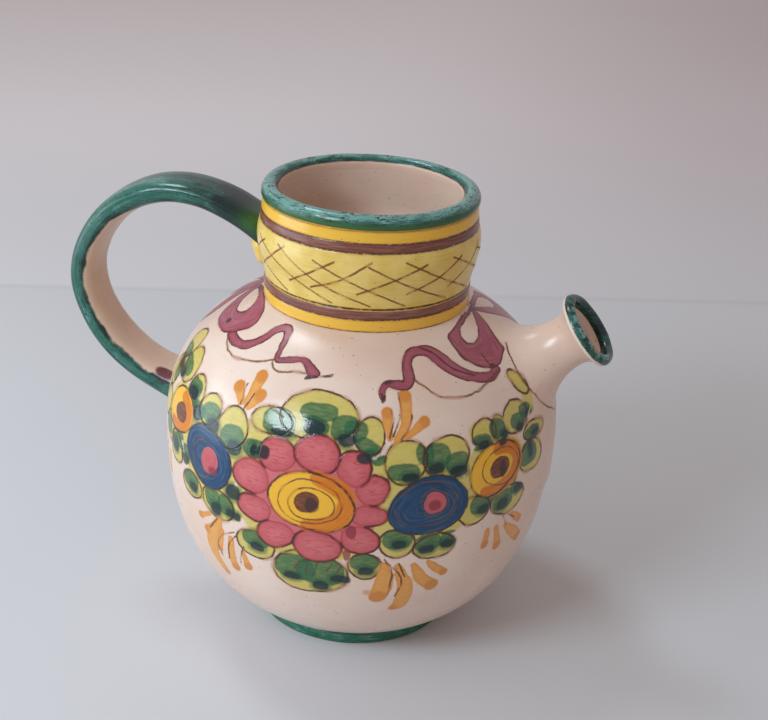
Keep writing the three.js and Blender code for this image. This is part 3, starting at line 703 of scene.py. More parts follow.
class TurnedSurface:
    """Places on a turned outside, given by bearing and level, and distances to what is painted there."""

    def __init__(self, curve):
        self.radii, self.levels = curve[:, 0], curve[:, 1]
        self.travel = travelled(curve)

    def radius(self, level):
        return np.interp(level, self.levels, self.radii)

    def points(self, bearing, level):
        angle = np.radians(np.asarray(bearing, float) - 90)
        radius = self.radius(level)
        return np.stack((radius * np.cos(angle), radius * np.sin(angle), level + 0 * angle), axis=-1)

    def axes(self, bearing, level, reach=0.2):
        """A place and its directions along the turn and up the wall."""
        angle = math.radians(bearing - 90)
        slope = (self.radius(level + reach) - self.radius(level - reach)) / (2 * reach)
        up = np.array((slope * math.cos(angle), slope * math.sin(angle), 1))
        along = np.array((-math.sin(angle), math.cos(angle), 0))
        return self.points(bearing, level), along, up / np.linalg.norm(up)

    def flat(self, points):
        """The surface rolled out flat: arc along the turn from the front, and way up the wall."""
        bearing = np.arctan2(points[:, 0], -points[:, 1])
        return self.rolled_out(bearing, points[:, 2])

    def rolled_out(self, turn, level):
        return stacked(turn * self.radius(level), np.interp(level, self.levels, self.travel))

    def ovals(self, points, rows, fullness=2.0):
        """Distance to the edge of the nearest oval, negative inside it."""
        field = np.full(len(points), FIELD_LIMIT)
        for bearing, level, width, height, *turn in rows:
            centre, along, up = self.axes(bearing, level)
            offset = points - centre
            close = np.flatnonzero(np.abs(offset).max(axis=1) < max(width, height) + FIELD_LIMIT)
            angle = math.radians(sum(turn))
            x, y = offset[close] @ along, offset[close] @ up
            u = np.abs(x * math.cos(angle) + y * math.sin(angle)) / width
            v = np.abs(y * math.cos(angle) - x * math.sin(angle)) / height
            round_angle = np.arctan2(y, x)
            seed = bearing + level
            ripple = 1 + OVAL_RIPPLES[0] * np.sin(2 * round_angle + seed)
            ripple += OVAL_RIPPLES[1] * np.sin(3 * round_angle + 2 * seed)
            reach = (u ** fullness + v ** fullness) ** (1 / fullness) + 1e-6
            pull = np.hypot(u ** (fullness - 1) / width, v ** (fullness - 1) / height)
            pull = np.maximum(pull / reach ** (fullness - 1), 1 / max(width, height))
            field[close] = np.minimum(field[close], (reach - ripple) / pull)
        return np.minimum(field, FIELD_LIMIT)

    def strokes(self, points, paths):
        """Distance to the edge of the nearest brush stroke, negative inside it."""
        field = np.full(len(points), FIELD_LIMIT)
        for path in paths:
            bearing, level, width = smooth_path(path).T
            curve = self.points(bearing, level)
            close = self.close_to(points, curve, width.max())
            gap = np.linalg.norm(points[close][:, None] - curve, axis=2) - width
            field[close] = np.minimum(field[close], gap.min(axis=1))
        return np.clip(field, -FIELD_LIMIT, FIELD_LIMIT)

    def lines(self, points, paths):
        """Signed distance to the side of the nearest line, and plain distance to it."""
        side = np.full(len(points), FIELD_LIMIT)
        near = np.full(len(points), FIELD_LIMIT)
        for path in paths:
            curve = self.points(*smooth_path(path).T)
            ahead = np.gradient(curve, axis=0)
            outward = curve * (1, 1, 0)
            left = unit(np.cross(outward, ahead))
            close = self.close_to(points, curve, 0)
            offset = points[close][:, None] - curve
            gap = np.linalg.norm(offset, axis=2)
            best = gap.argmin(axis=1)
            row = np.arange(len(close))
            nearer = gap[row, best] < near[close]
            chosen = close[nearer]
            near[chosen] = gap[row, best][nearer]
            side[chosen] = (offset[row, best] * left[best]).sum(axis=1)[nearer]
        return np.clip(side, -FIELD_LIMIT, FIELD_LIMIT), near

    def patch(self, points, outline):
        """Distance to the edge of a closed outline, negative inside it."""
        field = np.full(len(points), FIELD_LIMIT)
        bearing, level = smooth_path(outline, closed=True).T
        curve = self.points(bearing, level)
        close = self.close_to(points, curve, 0)
        place = self.flat(points[close])
        start = self.rolled_out(np.radians(bearing), level)
        run = np.roll(start, -1, axis=0) - start
        offset = place[:, None] - start
        part = np.clip((offset * run).sum(axis=2) / (run ** 2).sum(axis=1), 0, 1)
        gap = np.linalg.norm(offset - part[..., None] * run, axis=2).min(axis=1)
        below = start[:, 1] <= place[:, None, 1]
        above = (start + run)[:, 1] <= place[:, None, 1]
        rise = np.where(run[:, 1] == 0, 1e-9, run[:, 1])
        crossing = start[:, 0] + (place[:, None, 1] - start[:, 1]) / rise * run[:, 0]
        crossed = (below != above) & (crossing > place[:, None, 0])
        inside = crossed.sum(axis=1) % 2 == 1
        field[close] = np.where(inside, -gap, gap)
        return np.clip(field, -FIELD_LIMIT, FIELD_LIMIT)

    @staticmethod
    def close_to(points, curve, width):
        """Which points lie in the curve's box, grown by its width and the field's limit."""
        margin = width + FIELD_LIMIT
        inside = (points > curve.min(axis=0) - margin) & (points < curve.max(axis=0) + margin)
        return np.flatnonzero(inside.all(axis=1))


def spout_axes(size):
    """The spout's root on the belly, and its axis with the directions up and sideways across it."""
    level = size.widest_level + size.spout_rise
    root = np.array((TurnedSurface(belly_curve(size)).radius(level), 0, level))
    axis = np.array((math.cos(SPOUT_ELEVATION), 0, math.sin(SPOUT_ELEVATION)))
    side = np.array((0, 1, 0))
    return root, axis, np.cross(axis, side), side


def garland_fields(points, size):
    """All the painted fields of the belly and the spout at these points. The far side mirrors the front."""
    skin = TurnedSurface(belly_curve(size))
    points = stacked(points[:, 0], -np.abs(points[:, 1]), points[:, 2])
    fields = {name: skin.ovals(points, rows) for name, rows in GARLAND_OVALS.items()}
    fields.update((name, skin.ovals(points, rows, DAB_FULLNESS)) for name, rows in GARLAND_DABS.items())
    fields["dot"] = skin.ovals(points, DARK_DOTS, DOT_FULLNESS)
    fields.update((name, skin.strokes(points, paths)) for name, paths in GARLAND_STROKES.items())
    leafy = np.minimum(np.minimum(fields["leaf_a"], fields["leaf_b"]), fields["wash"])
    for name in GARLAND_DABS:
        fields[name] = np.maximum(fields[name], leafy)
    fields["dot_edge"] = np.maximum(fields["dot"] - DOT_EDGE, leafy)
    fields["petal_near"] = PETAL_LINE_STOP - skin.ovals(points, GOLD_FLOWERS[:1])
    fields["bow"] = np.minimum(
        np.maximum(skin.patch(points, LEFT_BOW), -skin.patch(points, LEFT_BOW_HOLE)),
        np.maximum(skin.patch(points, RIGHT_BOW), -skin.patch(points, RIGHT_BOW_HOLE)),
    )
    for name, paths in GARLAND_LINES.items():
        fields[name], fields[name + "_near"] = skin.lines(points, paths)
    fields["root"], fields["root_near"] = spout_root_fields(points, size)
    radius, _ = polar(points)
    inner_wall = skin.radius(points[:, 2]) - radius > SKIN_DEPTH
    for values in fields.values():
        values[inner_wall] = FIELD_LIMIT
    return fields


def spout_root_fields(points, size):
    """Signed distance to the line round the spout's root, and how far a point lies past its ends."""
    root, axis, up, side = spout_axes(size)
    offset = points - root
    away = offset - (offset @ axis)[:, None] * axis
    angle = np.degrees(np.arctan2(away @ side, away @ up))
    angle = np.where(angle > 90, angle - 360, angle)
    wanted, distance = np.array(SPOUT_ROOT_LINE[::-1]).T
    line = np.linalg.norm(away, axis=1) - np.interp(angle, wanted, distance)
    past = np.maximum(wanted[0] - angle, angle - wanted[-1]) / SPOUT_ROOT_LINE_FADE
    near = np.clip(past, 0, FIELD_LIMIT)
    near = np.where(np.linalg.norm(offset, axis=1) > SPOUT_ROOT_LINE_REACH, FIELD_LIMIT, near)
    return np.clip(line, -FIELD_LIMIT, FIELD_LIMIT), near


# Shader nodes


class Brush:
    """Adds nodes to one tree and hands back their output sockets."""

    def __init__(self, tree):
        self.tree = tree

    def node(self, kind, inputs=None, **settings):
        node = self.tree.nodes.new(kind)
        for name, value in settings.items():
            setattr(node, name, value)
        for name, value in (inputs or {}).items():
            self.feed(node.inputs[name], value)
        return node

    def feed(self, socket, value):
        if isinstance(value, bpy.types.NodeSocket):
            self.tree.links.new(value, socket)
        else:
            socket.default_value = value

    def math(self, operation, first, second=0.0):
        return self.node("ShaderNodeMath", {0: first, 1: second}, operation=operation).outputs[0]

    def plus(self, first, second):
        return self.math("ADD", first, second)

    def minus(self, first, second):
        return self.math("SUBTRACT", first, second)

    def times(self, first, second):
        return self.math("MULTIPLY", first, second)

    def larger(self, first, second):
        return self.math("MAXIMUM", first, second)

    def ease(self, value, low, high, start=1.0, end=0.0):
        """Start below low, end above high and a smooth change between them."""
        inputs = {"Value": value, "From Min": low, "From Max": high, "To Min": start, "To Max": end}
        return self.node("ShaderNodeMapRange", inputs, interpolation_type="SMOOTHSTEP").outputs[0]

    def ramp(self, value, low, high):
        """0 below low, 1 above high and a smooth change between them."""
        return self.ease(value, low, high, 0.0, 1.0)

    def mix(self, amount, first, second, blend="MIX"):
        """A colour between two colours."""
        inputs = {0: amount, 6: first, 7: second}
        return self.node("ShaderNodeMix", inputs, data_type="RGBA", blend_type=blend).outputs[2]

    def blend(self, amount, first, second):
        """A value between two values."""
        return self.node("ShaderNodeMix", {0: amount, 2: first, 3: second}).outputs[0]

    def place(self):
        """Object coordinates in millimetres."""
        coordinates = self.node("ShaderNodeTexCoord").outputs["Object"]
        return self.scaled(coordinates, 1 / MM, 1 / MM, 1 / MM)

    def part(self, vector, axis):
        return self.node("ShaderNodeSeparateXYZ", {0: vector}).outputs[axis]

    def scaled(self, vector, x, y, z):
        return self.node("ShaderNodeVectorMath", {0: vector, 1: (x, y, z)}, operation="MULTIPLY").outputs[0]

    def noise(self, vector, grain, detail=2.0, roughness=0.5):
        """Noise between 0 and 1 whose patches are about a grain wide."""
        inputs = {"Vector": vector, "Scale": 1 / grain, "Detail": detail, "Roughness": roughness}
        return self.node("ShaderNodeTexNoise", inputs).outputs["Fac"]

    def field(self, name):
        return self.node("ShaderNodeAttribute", attribute_name=name).outputs["Fac"]

    def group(self, tree, **inputs):
        """The outputs of a placed node group. An underscore in an input's name stands for a space."""
        named = {name.replace("_", " "): value for name, value in inputs.items()}
        return self.node("ShaderNodeGroup", named, node_tree=tree).outputs


def built_once(build):
    """Hands back the node group that a function has built before, or else lets it build the group."""
    name = build.__name__.replace("_", " ").title()

    def group():
        return bpy.data.node_groups.get(name) or build(name)

    return group


def new_group(name, inputs, outputs):
    """An empty shader node group, its brush and its two ends. An input has its kind or its usual value."""
    tree = bpy.data.node_groups.new(name, "ShaderNodeTree")
    for label, given in inputs.items():
        kind = given if isinstance(given, str) else "Float"
        socket = tree.interface.new_socket(label, in_out="INPUT", socket_type="NodeSocket" + kind)
        if kind == "Float":
            socket.default_value = given
    for label, kind in outputs.items():
        tree.interface.new_socket(label, in_out="OUTPUT", socket_type="NodeSocket" + kind)
    brush = Brush(tree)
    return tree, brush, brush.node("NodeGroupInput").outputs, brush.node("NodeGroupOutput").inputs


@built_once
def brushed_layer(name):
    """Node group: one coat of paint inside a field's edge, laid over what is under it."""
    tree, brush, given, result = new_group(
        name,
        {"Under": "Color", "Paint": "Color", "Under Roughness": 0.3, "Under Height": 0.0, "Distance": 1.0,
         "Wobble": 0.0, "Streak": 0.5, "Soft": 0.25, "Cover": 1.0, "Body": 1.0, "Streaky": 0.0, "Pool": 0.0,
         "Roughness": 0.25, "Thickness": 0.02},
        {"Color": "Color", "Roughness": "Float", "Height": "Float"},
    )
    distance = brush.plus(given["Distance"], given["Wobble"])
    inner = brush.times(given["Soft"], -1.0)
    mask = brush.ease(distance, inner, given["Soft"])
    thin = brush.times(given["Streaky"], brush.ease(given["Streak"], 0.45, 0.75, 0.0, 0.4))
    cover = brush.times(given["Cover"], brush.minus(1.0, thin))
    amount = brush.times(mask, cover)
    stain = brush.mix(1.0, given["Under"], given["Paint"], "MULTIPLY")
    coat = brush.mix(given["Body"], stain, given["Paint"])
    pooled = brush.times(brush.ramp(distance, -1.5, -0.1), given["Pool"])
    heavy = brush.times(brush.ease(given["Streak"], 0.33, 0.53), given["Streaky"])
    dark = brush.mix(1.0, coat, given["Paint"], "MULTIPLY")
    coat = brush.mix(brush.larger(pooled, heavy), coat, dark)
    brush.feed(result["Color"], brush.mix(amount, given["Under"], coat))
    brush.feed(result["Roughness"], brush.blend(amount, given["Under Roughness"], given["Roughness"]))
    raised = brush.times(amount, given["Thickness"])
    brush.feed(result["Height"], brush.plus(given["Under Height"], raised))
    return tree


@built_once
def scratched_line(name):
    """Node group: a dark line scratched along a field's edge, with the brown that spreads from it."""
    tree, brush, given, result = new_group(
        name,
        {"Under": "Color", "Ink": "Color", "Rust": "Color", "Under Height": 0.0, "Distance": 1.0, "Near": 0.0,
         "Wobble": 0.0, "Press": 0.5, "Width": 0.3, "Strength": 0.9, "Spread": 0.9, "Bleed": 0.6,
         "Depth": 0.1},
        {"Color": "Color", "Height": "Float"},
    )
    off = brush.math("ABSOLUTE", brush.plus(given["Distance"], given["Wobble"]))
    width = brush.times(given["Width"], brush.ease(given["Press"], 0.35, 0.65, 0.7, 1.25))
    inner = brush.times(width, 0.5)
    outer = brush.times(width, 1.4)
    present = brush.ease(given["Near"], 0.9, 1.5)
    press = brush.ease(given["Press"], 0.36, 0.52, 0.25, 1.0)
    strength = brush.times(brush.times(given["Strength"], present), press)
    core = brush.times(brush.ease(off, inner, outer), strength)
    spread = brush.times(given["Spread"], brush.ease(given["Press"], 0.3, 0.7, 1.5, 0.6))
    bleed = brush.times(given["Bleed"], present)
    halo = brush.times(brush.ease(off, inner, spread), bleed)
    stained = brush.mix(1.0, given["Under"], given["Rust"], "MULTIPLY")
    colour = brush.mix(halo, given["Under"], stained)
    brush.feed(result["Color"], brush.mix(core, colour, given["Ink"]))
    cut = brush.times(core, given["Depth"])
    brush.feed(result["Height"], brush.minus(given["Under Height"], cut))
    return tree


@built_once
def glaze_specks(name):
    """Node group: scattered pinholes, of which only some cells have one."""
    tree, brush, given, result = new_group(
        name,
        {"Vector": "Vector", "Spacing": 8.0, "Size": 0.3, "Share": 0.3},
        {"Mask": "Float"},
    )
    scale = brush.math("DIVIDE", 1.0, given["Spacing"])
    cells = brush.node("ShaderNodeTexVoronoi", {"Vector": given["Vector"], "Scale": scale})
    away = brush.times(cells.outputs["Distance"], given["Spacing"])
    chance = brush.node("ShaderNodeSeparateColor", {0: cells.outputs["Color"]}).outputs[0]
    size = brush.times(given["Size"], brush.plus(chance, 0.4))
    inner = brush.times(size, 0.6)
    dot = brush.ease(away, inner, size)
    kept = brush.math("LESS_THAN", chance, given["Share"])
    brush.feed(result["Mask"], brush.times(dot, kept))
    return tree


@built_once
def brushed_green(name):
    """Node group: copper green glaze from its pooled to its thin tone, with brush marks and pits. A high tone
    also paints highlights and light on the rim, the lip and the strap.
    """
    tree, brush, given, result = new_group(
        name,
        {"Vector": "Vector", "Along": "Vector", "Deep": "Color", "Middle": "Color", "Thin": "Color",
         "Tone": 0.5, "Streaky": 0.4, "Pits": 0.75},
        {"Color": "Color", "Roughness": "Float", "Height": "Float"},
    )
    marks = brush.noise(given["Along"], 1.0, 4.0, 0.6)
    cloud = brush.noise(given["Vector"], 6.0, 4.0, 0.6)
    fine = brush.larger(brush.noise(given["Vector"], 0.8, 3.0, 0.65), brush.noise(given["Along"], 0.35, 2.0))
    streak = brush.times(brush.minus(marks, 0.5), given["Streaky"])
    patch = brush.times(brush.minus(cloud, 0.5), 1.1)
    tone = brush.plus(given["Tone"], brush.plus(brush.times(streak, 3.0), patch))
    lower = brush.mix(brush.ramp(tone, 0.0, 0.5), given["Deep"], given["Middle"])
    colour = brush.mix(brush.ramp(tone, 0.5, 1.05), lower, given["Thin"])
    pitted = brush.ramp(fine, 0.55, 0.63)
    pitted = brush.times(pitted, brush.ease(cloud, 0.42, 0.62, 0.15, 1.0))
    pitted = brush.times(pitted, given["Pits"])
    brush.feed(result["Color"], brush.mix(pitted, colour, given["Deep"]))
    brush.feed(result["Roughness"], brush.ease(marks, 0.3, 0.7, 0.13, 0.24))
    ridges = brush.times(marks, 0.035)
    holes = brush.times(pitted, 0.03)
    brush.feed(result["Height"], brush.minus(ridges, holes))
    return tree


def coated(brush, under, **inputs):
    """Colour, roughness and height with one more coat of paint over them."""
    under = dict(zip(("Under", "Under_Roughness", "Under_Height"), under))
    return brush.group(brushed_layer(), **under, **inputs)


def scratched(brush, under, **inputs):
    """Colour, roughness and height with a line scratched in them."""
    colour, roughness, height = under
    colour, height = brush.group(scratched_line(), Under=colour, Under_Height=height, **inputs)
    return colour, roughness, height


def new_material(name):
    """A material with only its shader, and the brush that paints its tree."""
    material = bpy.data.materials.new(name)
    material.use_nodes = True
    tree = material.node_tree
    tree.nodes.clear()
    brush = Brush(tree)
    shader = brush.node("ShaderNodeBsdfPrincipled")
    brush.node("ShaderNodeOutputMaterial", {"Surface": shader.outputs[0]})
    return material, brush, shader


def finish_shader(brush, shader, colour, roughness, height):
    """Feeds the shader's colour and roughness, and its height in millimetres as a bump."""
    brush.feed(shader.inputs["Base Color"], colour)
    brush.feed(shader.inputs["Roughness"], roughness)
    bump = brush.node("ShaderNodeBump", {"Height": height, "Distance": MM, "Strength": 1.0})
    brush.feed(shader.inputs["Normal"], bump.outputs[0])


# A coat of paint fills a field's inside, grown by some millimetres. Cover and body say how much it hides,
# streaky and rings how its brush strokes show, and pool how dark it dries at its edge.
Fill = namedtuple("Fill", "field colour grow soft cover body streaky rings pool roughness thickness",
                  defaults=(0.0, 0.22, 1.0, 1.0, 0.0, False, 0.0, 0.26, 0.03))
# A line is scratched along a field's edge, and ends where the field called near gets high.
Line = namedtuple("Line", "field near ink width strength spread bleed",
                  defaults=(None, "ink", 0.33, 0.94, 0.8, 0.3))


def petal_coats(field, near=None):
    """A layer of petals: rose, thinner in the middle, inside a scratched edge."""
    return (
        Fill(field, "petal", soft=0.3, streaky=0.2, pool=0.5),
        Fill(field, "petal_pale", grow=-3.4, soft=2.4, cover=0.34, streaky=0.9),
        Line(field, near, ink="rose_ink", width=0.38, spread=1.1, bleed=0.5),
    )


# The coats of the garland in the order of their painting.
GARLAND_COATS = (
    Fill("wash", "leaf_wash", soft=0.8, cover=0.95, body=0.95, streaky=0.15, thickness=0.0),
    *(Fill(leaf, "leaf_light", soft=0.4, cover=0.95, body=0.92, streaky=0.2) for leaf in LEAF_FIELDS),
    *(Fill(dab, "leaf_green", grow=0.4, soft=0.42, cover=0.88, body=0.9, streaky=0.35, pool=0.25,
           roughness=0.13) for dab in GARLAND_DABS),
    Fill("dot_edge", "leaf_green", soft=0.7, cover=0.55, body=0.5, streaky=0.2, roughness=0.1),
    *(Line(leaf, spread=1.2, bleed=0.55) for leaf in LEAF_FIELDS),
    Fill("sprig", "sprig", body=0.95, streaky=0.2, pool=0.35),
    Fill("tip", "sprig_tip", soft=0.9, cover=0.6, body=0.9),
    *(Line(stem, stem + "_near", ink="sepia", spread=0.6) for stem in ("stem", "stem_between")),
    Fill("petal_base", "petal_light", soft=0.5, streaky=0.2),
    *petal_coats("petal_a", "petal_near"),
    *petal_coats("petal_b", "petal_near"),
    *petal_coats("petal_c"),
    Fill("petal_spot", "petal_deep", cover=0.8),
    Fill("blue", "blue", streaky=0.28, rings=True, pool=0.4, roughness=0.18),
    Line("blue", width=0.32),
    Fill("gold", "gold", streaky=0.16, rings=True, roughness=0.2),
    Fill("amber", "amber", soft=0.5, cover=0.92, body=0.95, streaky=0.3, rings=True, roughness=0.2),
    Fill("dot", "leaf_dark", grow=0.1, soft=0.5, cover=0.92, streaky=0.1, roughness=0.08, thickness=0.05),
    Line("gold", width=0.38, spread=1.0, bleed=0.5),
    Line("ring_outer", ink="sepia", width=0.26, strength=0.8, spread=0.7),
    Line("ring_inner", ink="sepia", width=0.28, strength=0.85, spread=0.7),
    Fill("heart", "heart", streaky=0.35, rings=True),
    Fill("heart_dark", "petal_deep", soft=0.7, cover=0.85),
    Fill("pupil", "pupil", streaky=0.3),
    Fill("pupil_dark", "pupil_dark", soft=0.5, cover=0.85),
    Fill("ribbon", "ribbon", streaky=0.3, rings=True, pool=0.42),
    Line("ribbon", ink="rose_ink", width=0.26),
    Fill("bow", "ribbon", streaky=0.3, rings=True, pool=0.42),
    Line("bow", ink="rose_ink", width=0.28),
    Fill("knot", "ribbon_dark", soft=0.3, cover=0.95),
    Line("fold", "fold_near", ink="rose_ink", width=0.26),
    Line("loop", "loop_near", ink="sepia", width=0.24, strength=0.8, spread=0.7, bleed=0.6),
    Line("root", "root_near", ink="sepia", width=0.24, strength=0.9, spread=0.6, bleed=0.5),
)


def hand_wobble(brush, place, amount=1.0):
    """How far a painted edge strays, in millimetres."""
    slow = brush.minus(brush.noise(place, 4.0), 0.5)
    quick = brush.minus(brush.noise(place, 0.9, 2.0), 0.5)
    both = brush.plus(brush.times(slow, 1.1), brush.times(quick, 0.3))
    return brush.times(both, amount)


def tin_ground(brush, place, colours):
    """The white ground, with painted shade towards the spout's side: colour, roughness and height before
    anything is painted.
    """
    cloud = brush.noise(place, 38.0, 3.0)
    colour = brush.mix(brush.ease(cloud, 0.35, 0.7, 0.0, 0.75), colours.tin, colours.tin_warm)
    rings = brush.noise(brush.scaled(place, 0.04, 0.04, 0.6), 1.0, 3.0)
    colour = brush.mix(brush.ease(rings, 0.45, 0.8, 0.0, 0.3), colour, colours.tin_warm)
    # Painted shade: warmer, darker tin towards the spout's side.
    reach = brush.part(place, "X")
    colour = brush.mix(brush.ease(reach, *SPOUT_SHADE_RUN, 0.0, 0.8), colour, colours.tin_warm)
    specks = brush.group(glaze_specks(), Vector=place, Spacing=2.7, Size=0.5, Share=0.36)[0]
    dust = brush.group(glaze_specks(), Vector=place, Spacing=1.4, Size=0.3, Share=0.12)[0]
    marks = brush.larger(specks, dust)
    colour = brush.mix(brush.times(marks, 0.75), colour, colours.speck)
    roughness = brush.ease(cloud, 0.3, 0.7, 0.2, 0.3)
    ripple = brush.times(rings, 0.05)
    orange_peel = brush.times(brush.noise(place, 1.6, 2.0), 0.012)
    pits = brush.times(marks, 0.05)
    height = brush.minus(brush.plus(ripple, orange_peel), pits)
    return colour, roughness, height


def garland_glaze(colours):
    """Tin white with the garland painted over it, for the belly and the spout."""
    name = "painted_tin_glaze"
    if name in bpy.data.materials:
        return bpy.data.materials[name]
    material, brush, shader = new_material(name)
    place = brush.place()
    wobble = hand_wobble(brush, place)
    streak = brush.noise(brush.scaled(place, 0.3, 0.3, 1.2), 1.0, 3.0, 0.6)
    press = brush.noise(place, 6.0, 2.0)
    drifting = brush.scaled(place, 0.13, 0.13, 0.13)
    glaze = tin_ground(brush, place, colours)
    for coat in GARLAND_COATS:
        distance = brush.field(coat.field)
        if isinstance(coat, Line):
            near = brush.field(coat.near) if coat.near else 0.0
            glaze = scratched(
                brush, glaze, Ink=getattr(colours, coat.ink), Rust=colours.rust, Distance=distance, Near=near,
                Wobble=wobble, Press=press, Width=coat.width, Strength=coat.strength, Spread=coat.spread,
                Bleed=coat.bleed)
            continue
        strokes = streak
        if coat.rings:
            circling = brush.node("ShaderNodeCombineXYZ", {0: distance}).outputs[0]
            circling = brush.node("ShaderNodeVectorMath", {0: drifting, 1: circling}).outputs[0]
            strokes = brush.noise(circling, 1.0, 4.0, 0.65)
        if coat.grow:
            distance = brush.minus(distance, coat.grow)
        glaze = coated(
            brush, glaze, Paint=getattr(colours, coat.colour), Distance=distance, Wobble=wobble,
            Streak=strokes, Soft=coat.soft, Cover=coat.cover, Body=coat.body, Streaky=coat.streaky,
            Pool=coat.pool, Roughness=coat.roughness, Thickness=coat.thickness)
    finish_shader(brush, shader, *glaze)
    return material


def band_distance(brush, level, low, high):
    """Distance to a band between two levels, negative inside it."""
    return brush.larger(brush.minus(low, level), brush.minus(level, high))


def neck_glaze(colours, size):
    """The neck's yellow and brown bands, its trellis and its white inside."""
    material, brush, shader = new_material("banded_neck_glaze")
    place = brush.place()
    wobble = hand_wobble(brush, place, 0.45)
    around = brush.scaled(place, 0.10, 0.10, 2.2)
    streak = brush.noise(around, 1.0, 4.0, 0.6)
    press = brush.noise(place, 5.0, 2.0)
    crumbs = brush.noise(place, 1.6, 4.0, 0.7)
    level = brush.part(place, "Z")
    rise = brush.minus(level, size.neck_level)
    colour, roughness, height = tin_ground(brush, place, colours)
    outside = brush.field("outside")
    colour = brush.mix(brush.ease(outside, 0.0, 1.0, 0.0, 0.35), colour, colours.bare)
    glaze = colour, roughness, height
    cloud = brush.noise(place, 9.0, 3.0)
    straw = brush.mix(brush.ramp(cloud, 0.35, 0.65), colours.straw, colours.straw_green)
    bands = (
        (-2.0, LOWER_YELLOW_TOP, colours.ochre, 0.12, 0.2),
        (LOWER_YELLOW_TOP, LOWER_BROWN_TOP, colours.umber, 0.45, 0.24),
        (LOWER_BROWN_TOP, BULGE_TOP, straw, 0.25, 0.22),
        (BULGE_TOP, UPPER_BROWN_TOP, colours.umber, 0.45, 0.24),
        (UPPER_BROWN_TOP, UPPER_YELLOW_TOP + 4, colours.ochre, 0.12, 0.2),
    )
    for low, high, paint, streaky, gloss in bands:
        distance = brush.larger(band_distance(brush, rise, low, high), outside)
        glaze = coated(brush, glaze, Paint=paint, Distance=distance, Wobble=wobble, Streak=streak, Soft=0.16,
                       Streaky=streaky, Pool=0.2, Roughness=gloss)
    cuts = (
        (0.0, 0.34, 0.95), (LOWER_YELLOW_TOP, 0.36, 0.88), (LOWER_BROWN_TOP + 0.6, 0.4, 0.9),
        (BULGE_TOP, 0.38, 0.88), (UPPER_BROWN_TOP, 0.33, 0.85), (UPPER_YELLOW_TOP + 0.4, 0.3, 0.4),
    )
    for level_of_cut, width, strength in cuts:
        distance = brush.larger(brush.minus(rise, level_of_cut), outside)
        glaze = scratched(
            brush, glaze, Ink=colours.ink, Rust=colours.rust, Distance=distance, Wobble=wobble, Press=crumbs,
            Width=width, Strength=strength, Spread=0.9, Bleed=0.4, Depth=0.05)
    specks = brush.group(glaze_specks(), Vector=place, Spacing=2.2, Size=0.42, Share=0.3)[0]
    colour, roughness, height = glaze
    glaze = brush.mix(brush.times(specks, 0.85), colour, colours.ink), roughness, height
    for name, width in (("falling", 0.28), ("rising", 0.36)):
        glaze = scratched(
            brush, glaze, Ink=colours.trellis, Rust=colours.rust, Distance=brush.field(name),
            Near=brush.field(name + "_near"), Wobble=wobble, Press=press, Width=width, Strength=0.9,
            Spread=0.8, Bleed=0.4, Depth=0.0)
    finish_shader(brush, shader, *glaze)
    return material


def green_glaze(name, colours, middle, tone, edges, streaky=0.4, pits=0.75):
    """Copper green for the turned coils. Tone says where it lies thin and, on the rim and the lip, where
    light is painted on it; edges say what it ends at.
    """
    material, brush, shader = new_material(name)
    place = brush.place()
    along = brush.scaled(place, 0.12, 0.12, 1.5)
    colour, roughness, height = brush.group(
        brushed_green(), Vector=place, Along=along, Tone=tone(brush, place), Deep=colours.green_deep,
        Middle=middle, Thin=colours.green_light, Streaky=streaky, Pits=pits)
    colour, roughness = edges(brush, place, colour, roughness)
    finish_shader(brush, shader, colour, roughness, height)
    return material


def handle_glaze(colours):
    """Copper green outside and tin white inside, for the strap handle."""
    material, brush, shader = new_material("strap_glaze")
    place = brush.place()
    strap = brush.node("ShaderNodeAttribute", attribute_name="strap").outputs["Vector"]
    along = brush.scaled(strap, 0.06, 0.9, 0.9)
    wobble = hand_wobble(brush, brush.scaled(place, 0.5, 0.5, 0.5), 1.8)
    # The thin field lightens the green where the glaze is thin and where a sheen is painted on the strap's
    # crown.
    green, gloss, height = brush.group(
        brushed_green(), Vector=place, Along=along, Tone=brush.field("thin"), Deep=colours.green_deep,
        Middle=colours.green, Thin=colours.green_light, Streaky=0.42, Pits=0.95)
    green = brush.mix(brush.field("grassy"), green, colours.green_leaf)
    cloud = brush.noise(place, 14.0, 3.0)
    bare = brush.mix(brush.ease(cloud, 0.35, 0.65, 0.0, 0.5), colours.bare, colours.tin_warm)
    glaze = coated(brush, (green, gloss, height), Paint=bare, Distance=brush.field("bare"), Wobble=wobble,
                   Soft=0.35, Roughness=0.3, Thickness=-0.03)
    glaze = coated(brush, glaze, Paint=colours.plum_blot, Distance=brush.field("blot"), Wobble=wobble,
                   Soft=0.5, Cover=0.94, Roughness=0.3)
    finish_shader(brush, shader, *glaze)
    return material


def wad_glaze(colours):
    """Pale yellow on the lump under the handle, darker in its crease."""
    material, brush, shader = new_material("wad_glaze")
    place = brush.place()
    cloud = brush.noise(place, 6.0, 3.0)
    colour = brush.mix(brush.ramp(cloud, 0.35, 0.65), colours.straw, colours.ochre)
    ripple = brush.times(brush.noise(place, 2.2, 3.0), 0.12)
    roughness = brush.ease(cloud, 0.3, 0.7, 0.2, 0.32)
    glaze = scratched(
        brush, (colour, roughness, ripple), Ink=colours.ink, Rust=colours.rust,
        Distance=brush.field("crease"), Wobble=hand_wobble(brush, place, 0.6), Press=cloud, Width=0.4,
        Strength=0.9, Spread=1.4, Bleed=0.7)
    finish_shader(brush, shader, *glaze)
    return material


def seen_rays(brush):
    """1 for what the camera sees straight, in a mirror or through glass."""
    path = brush.node("ShaderNodeLightPath").outputs
    mirrored = brush.larger(path["Is Glossy Ray"], path["Is Transmission Ray"])
    return brush.larger(path["Is Camera Ray"], mirrored)


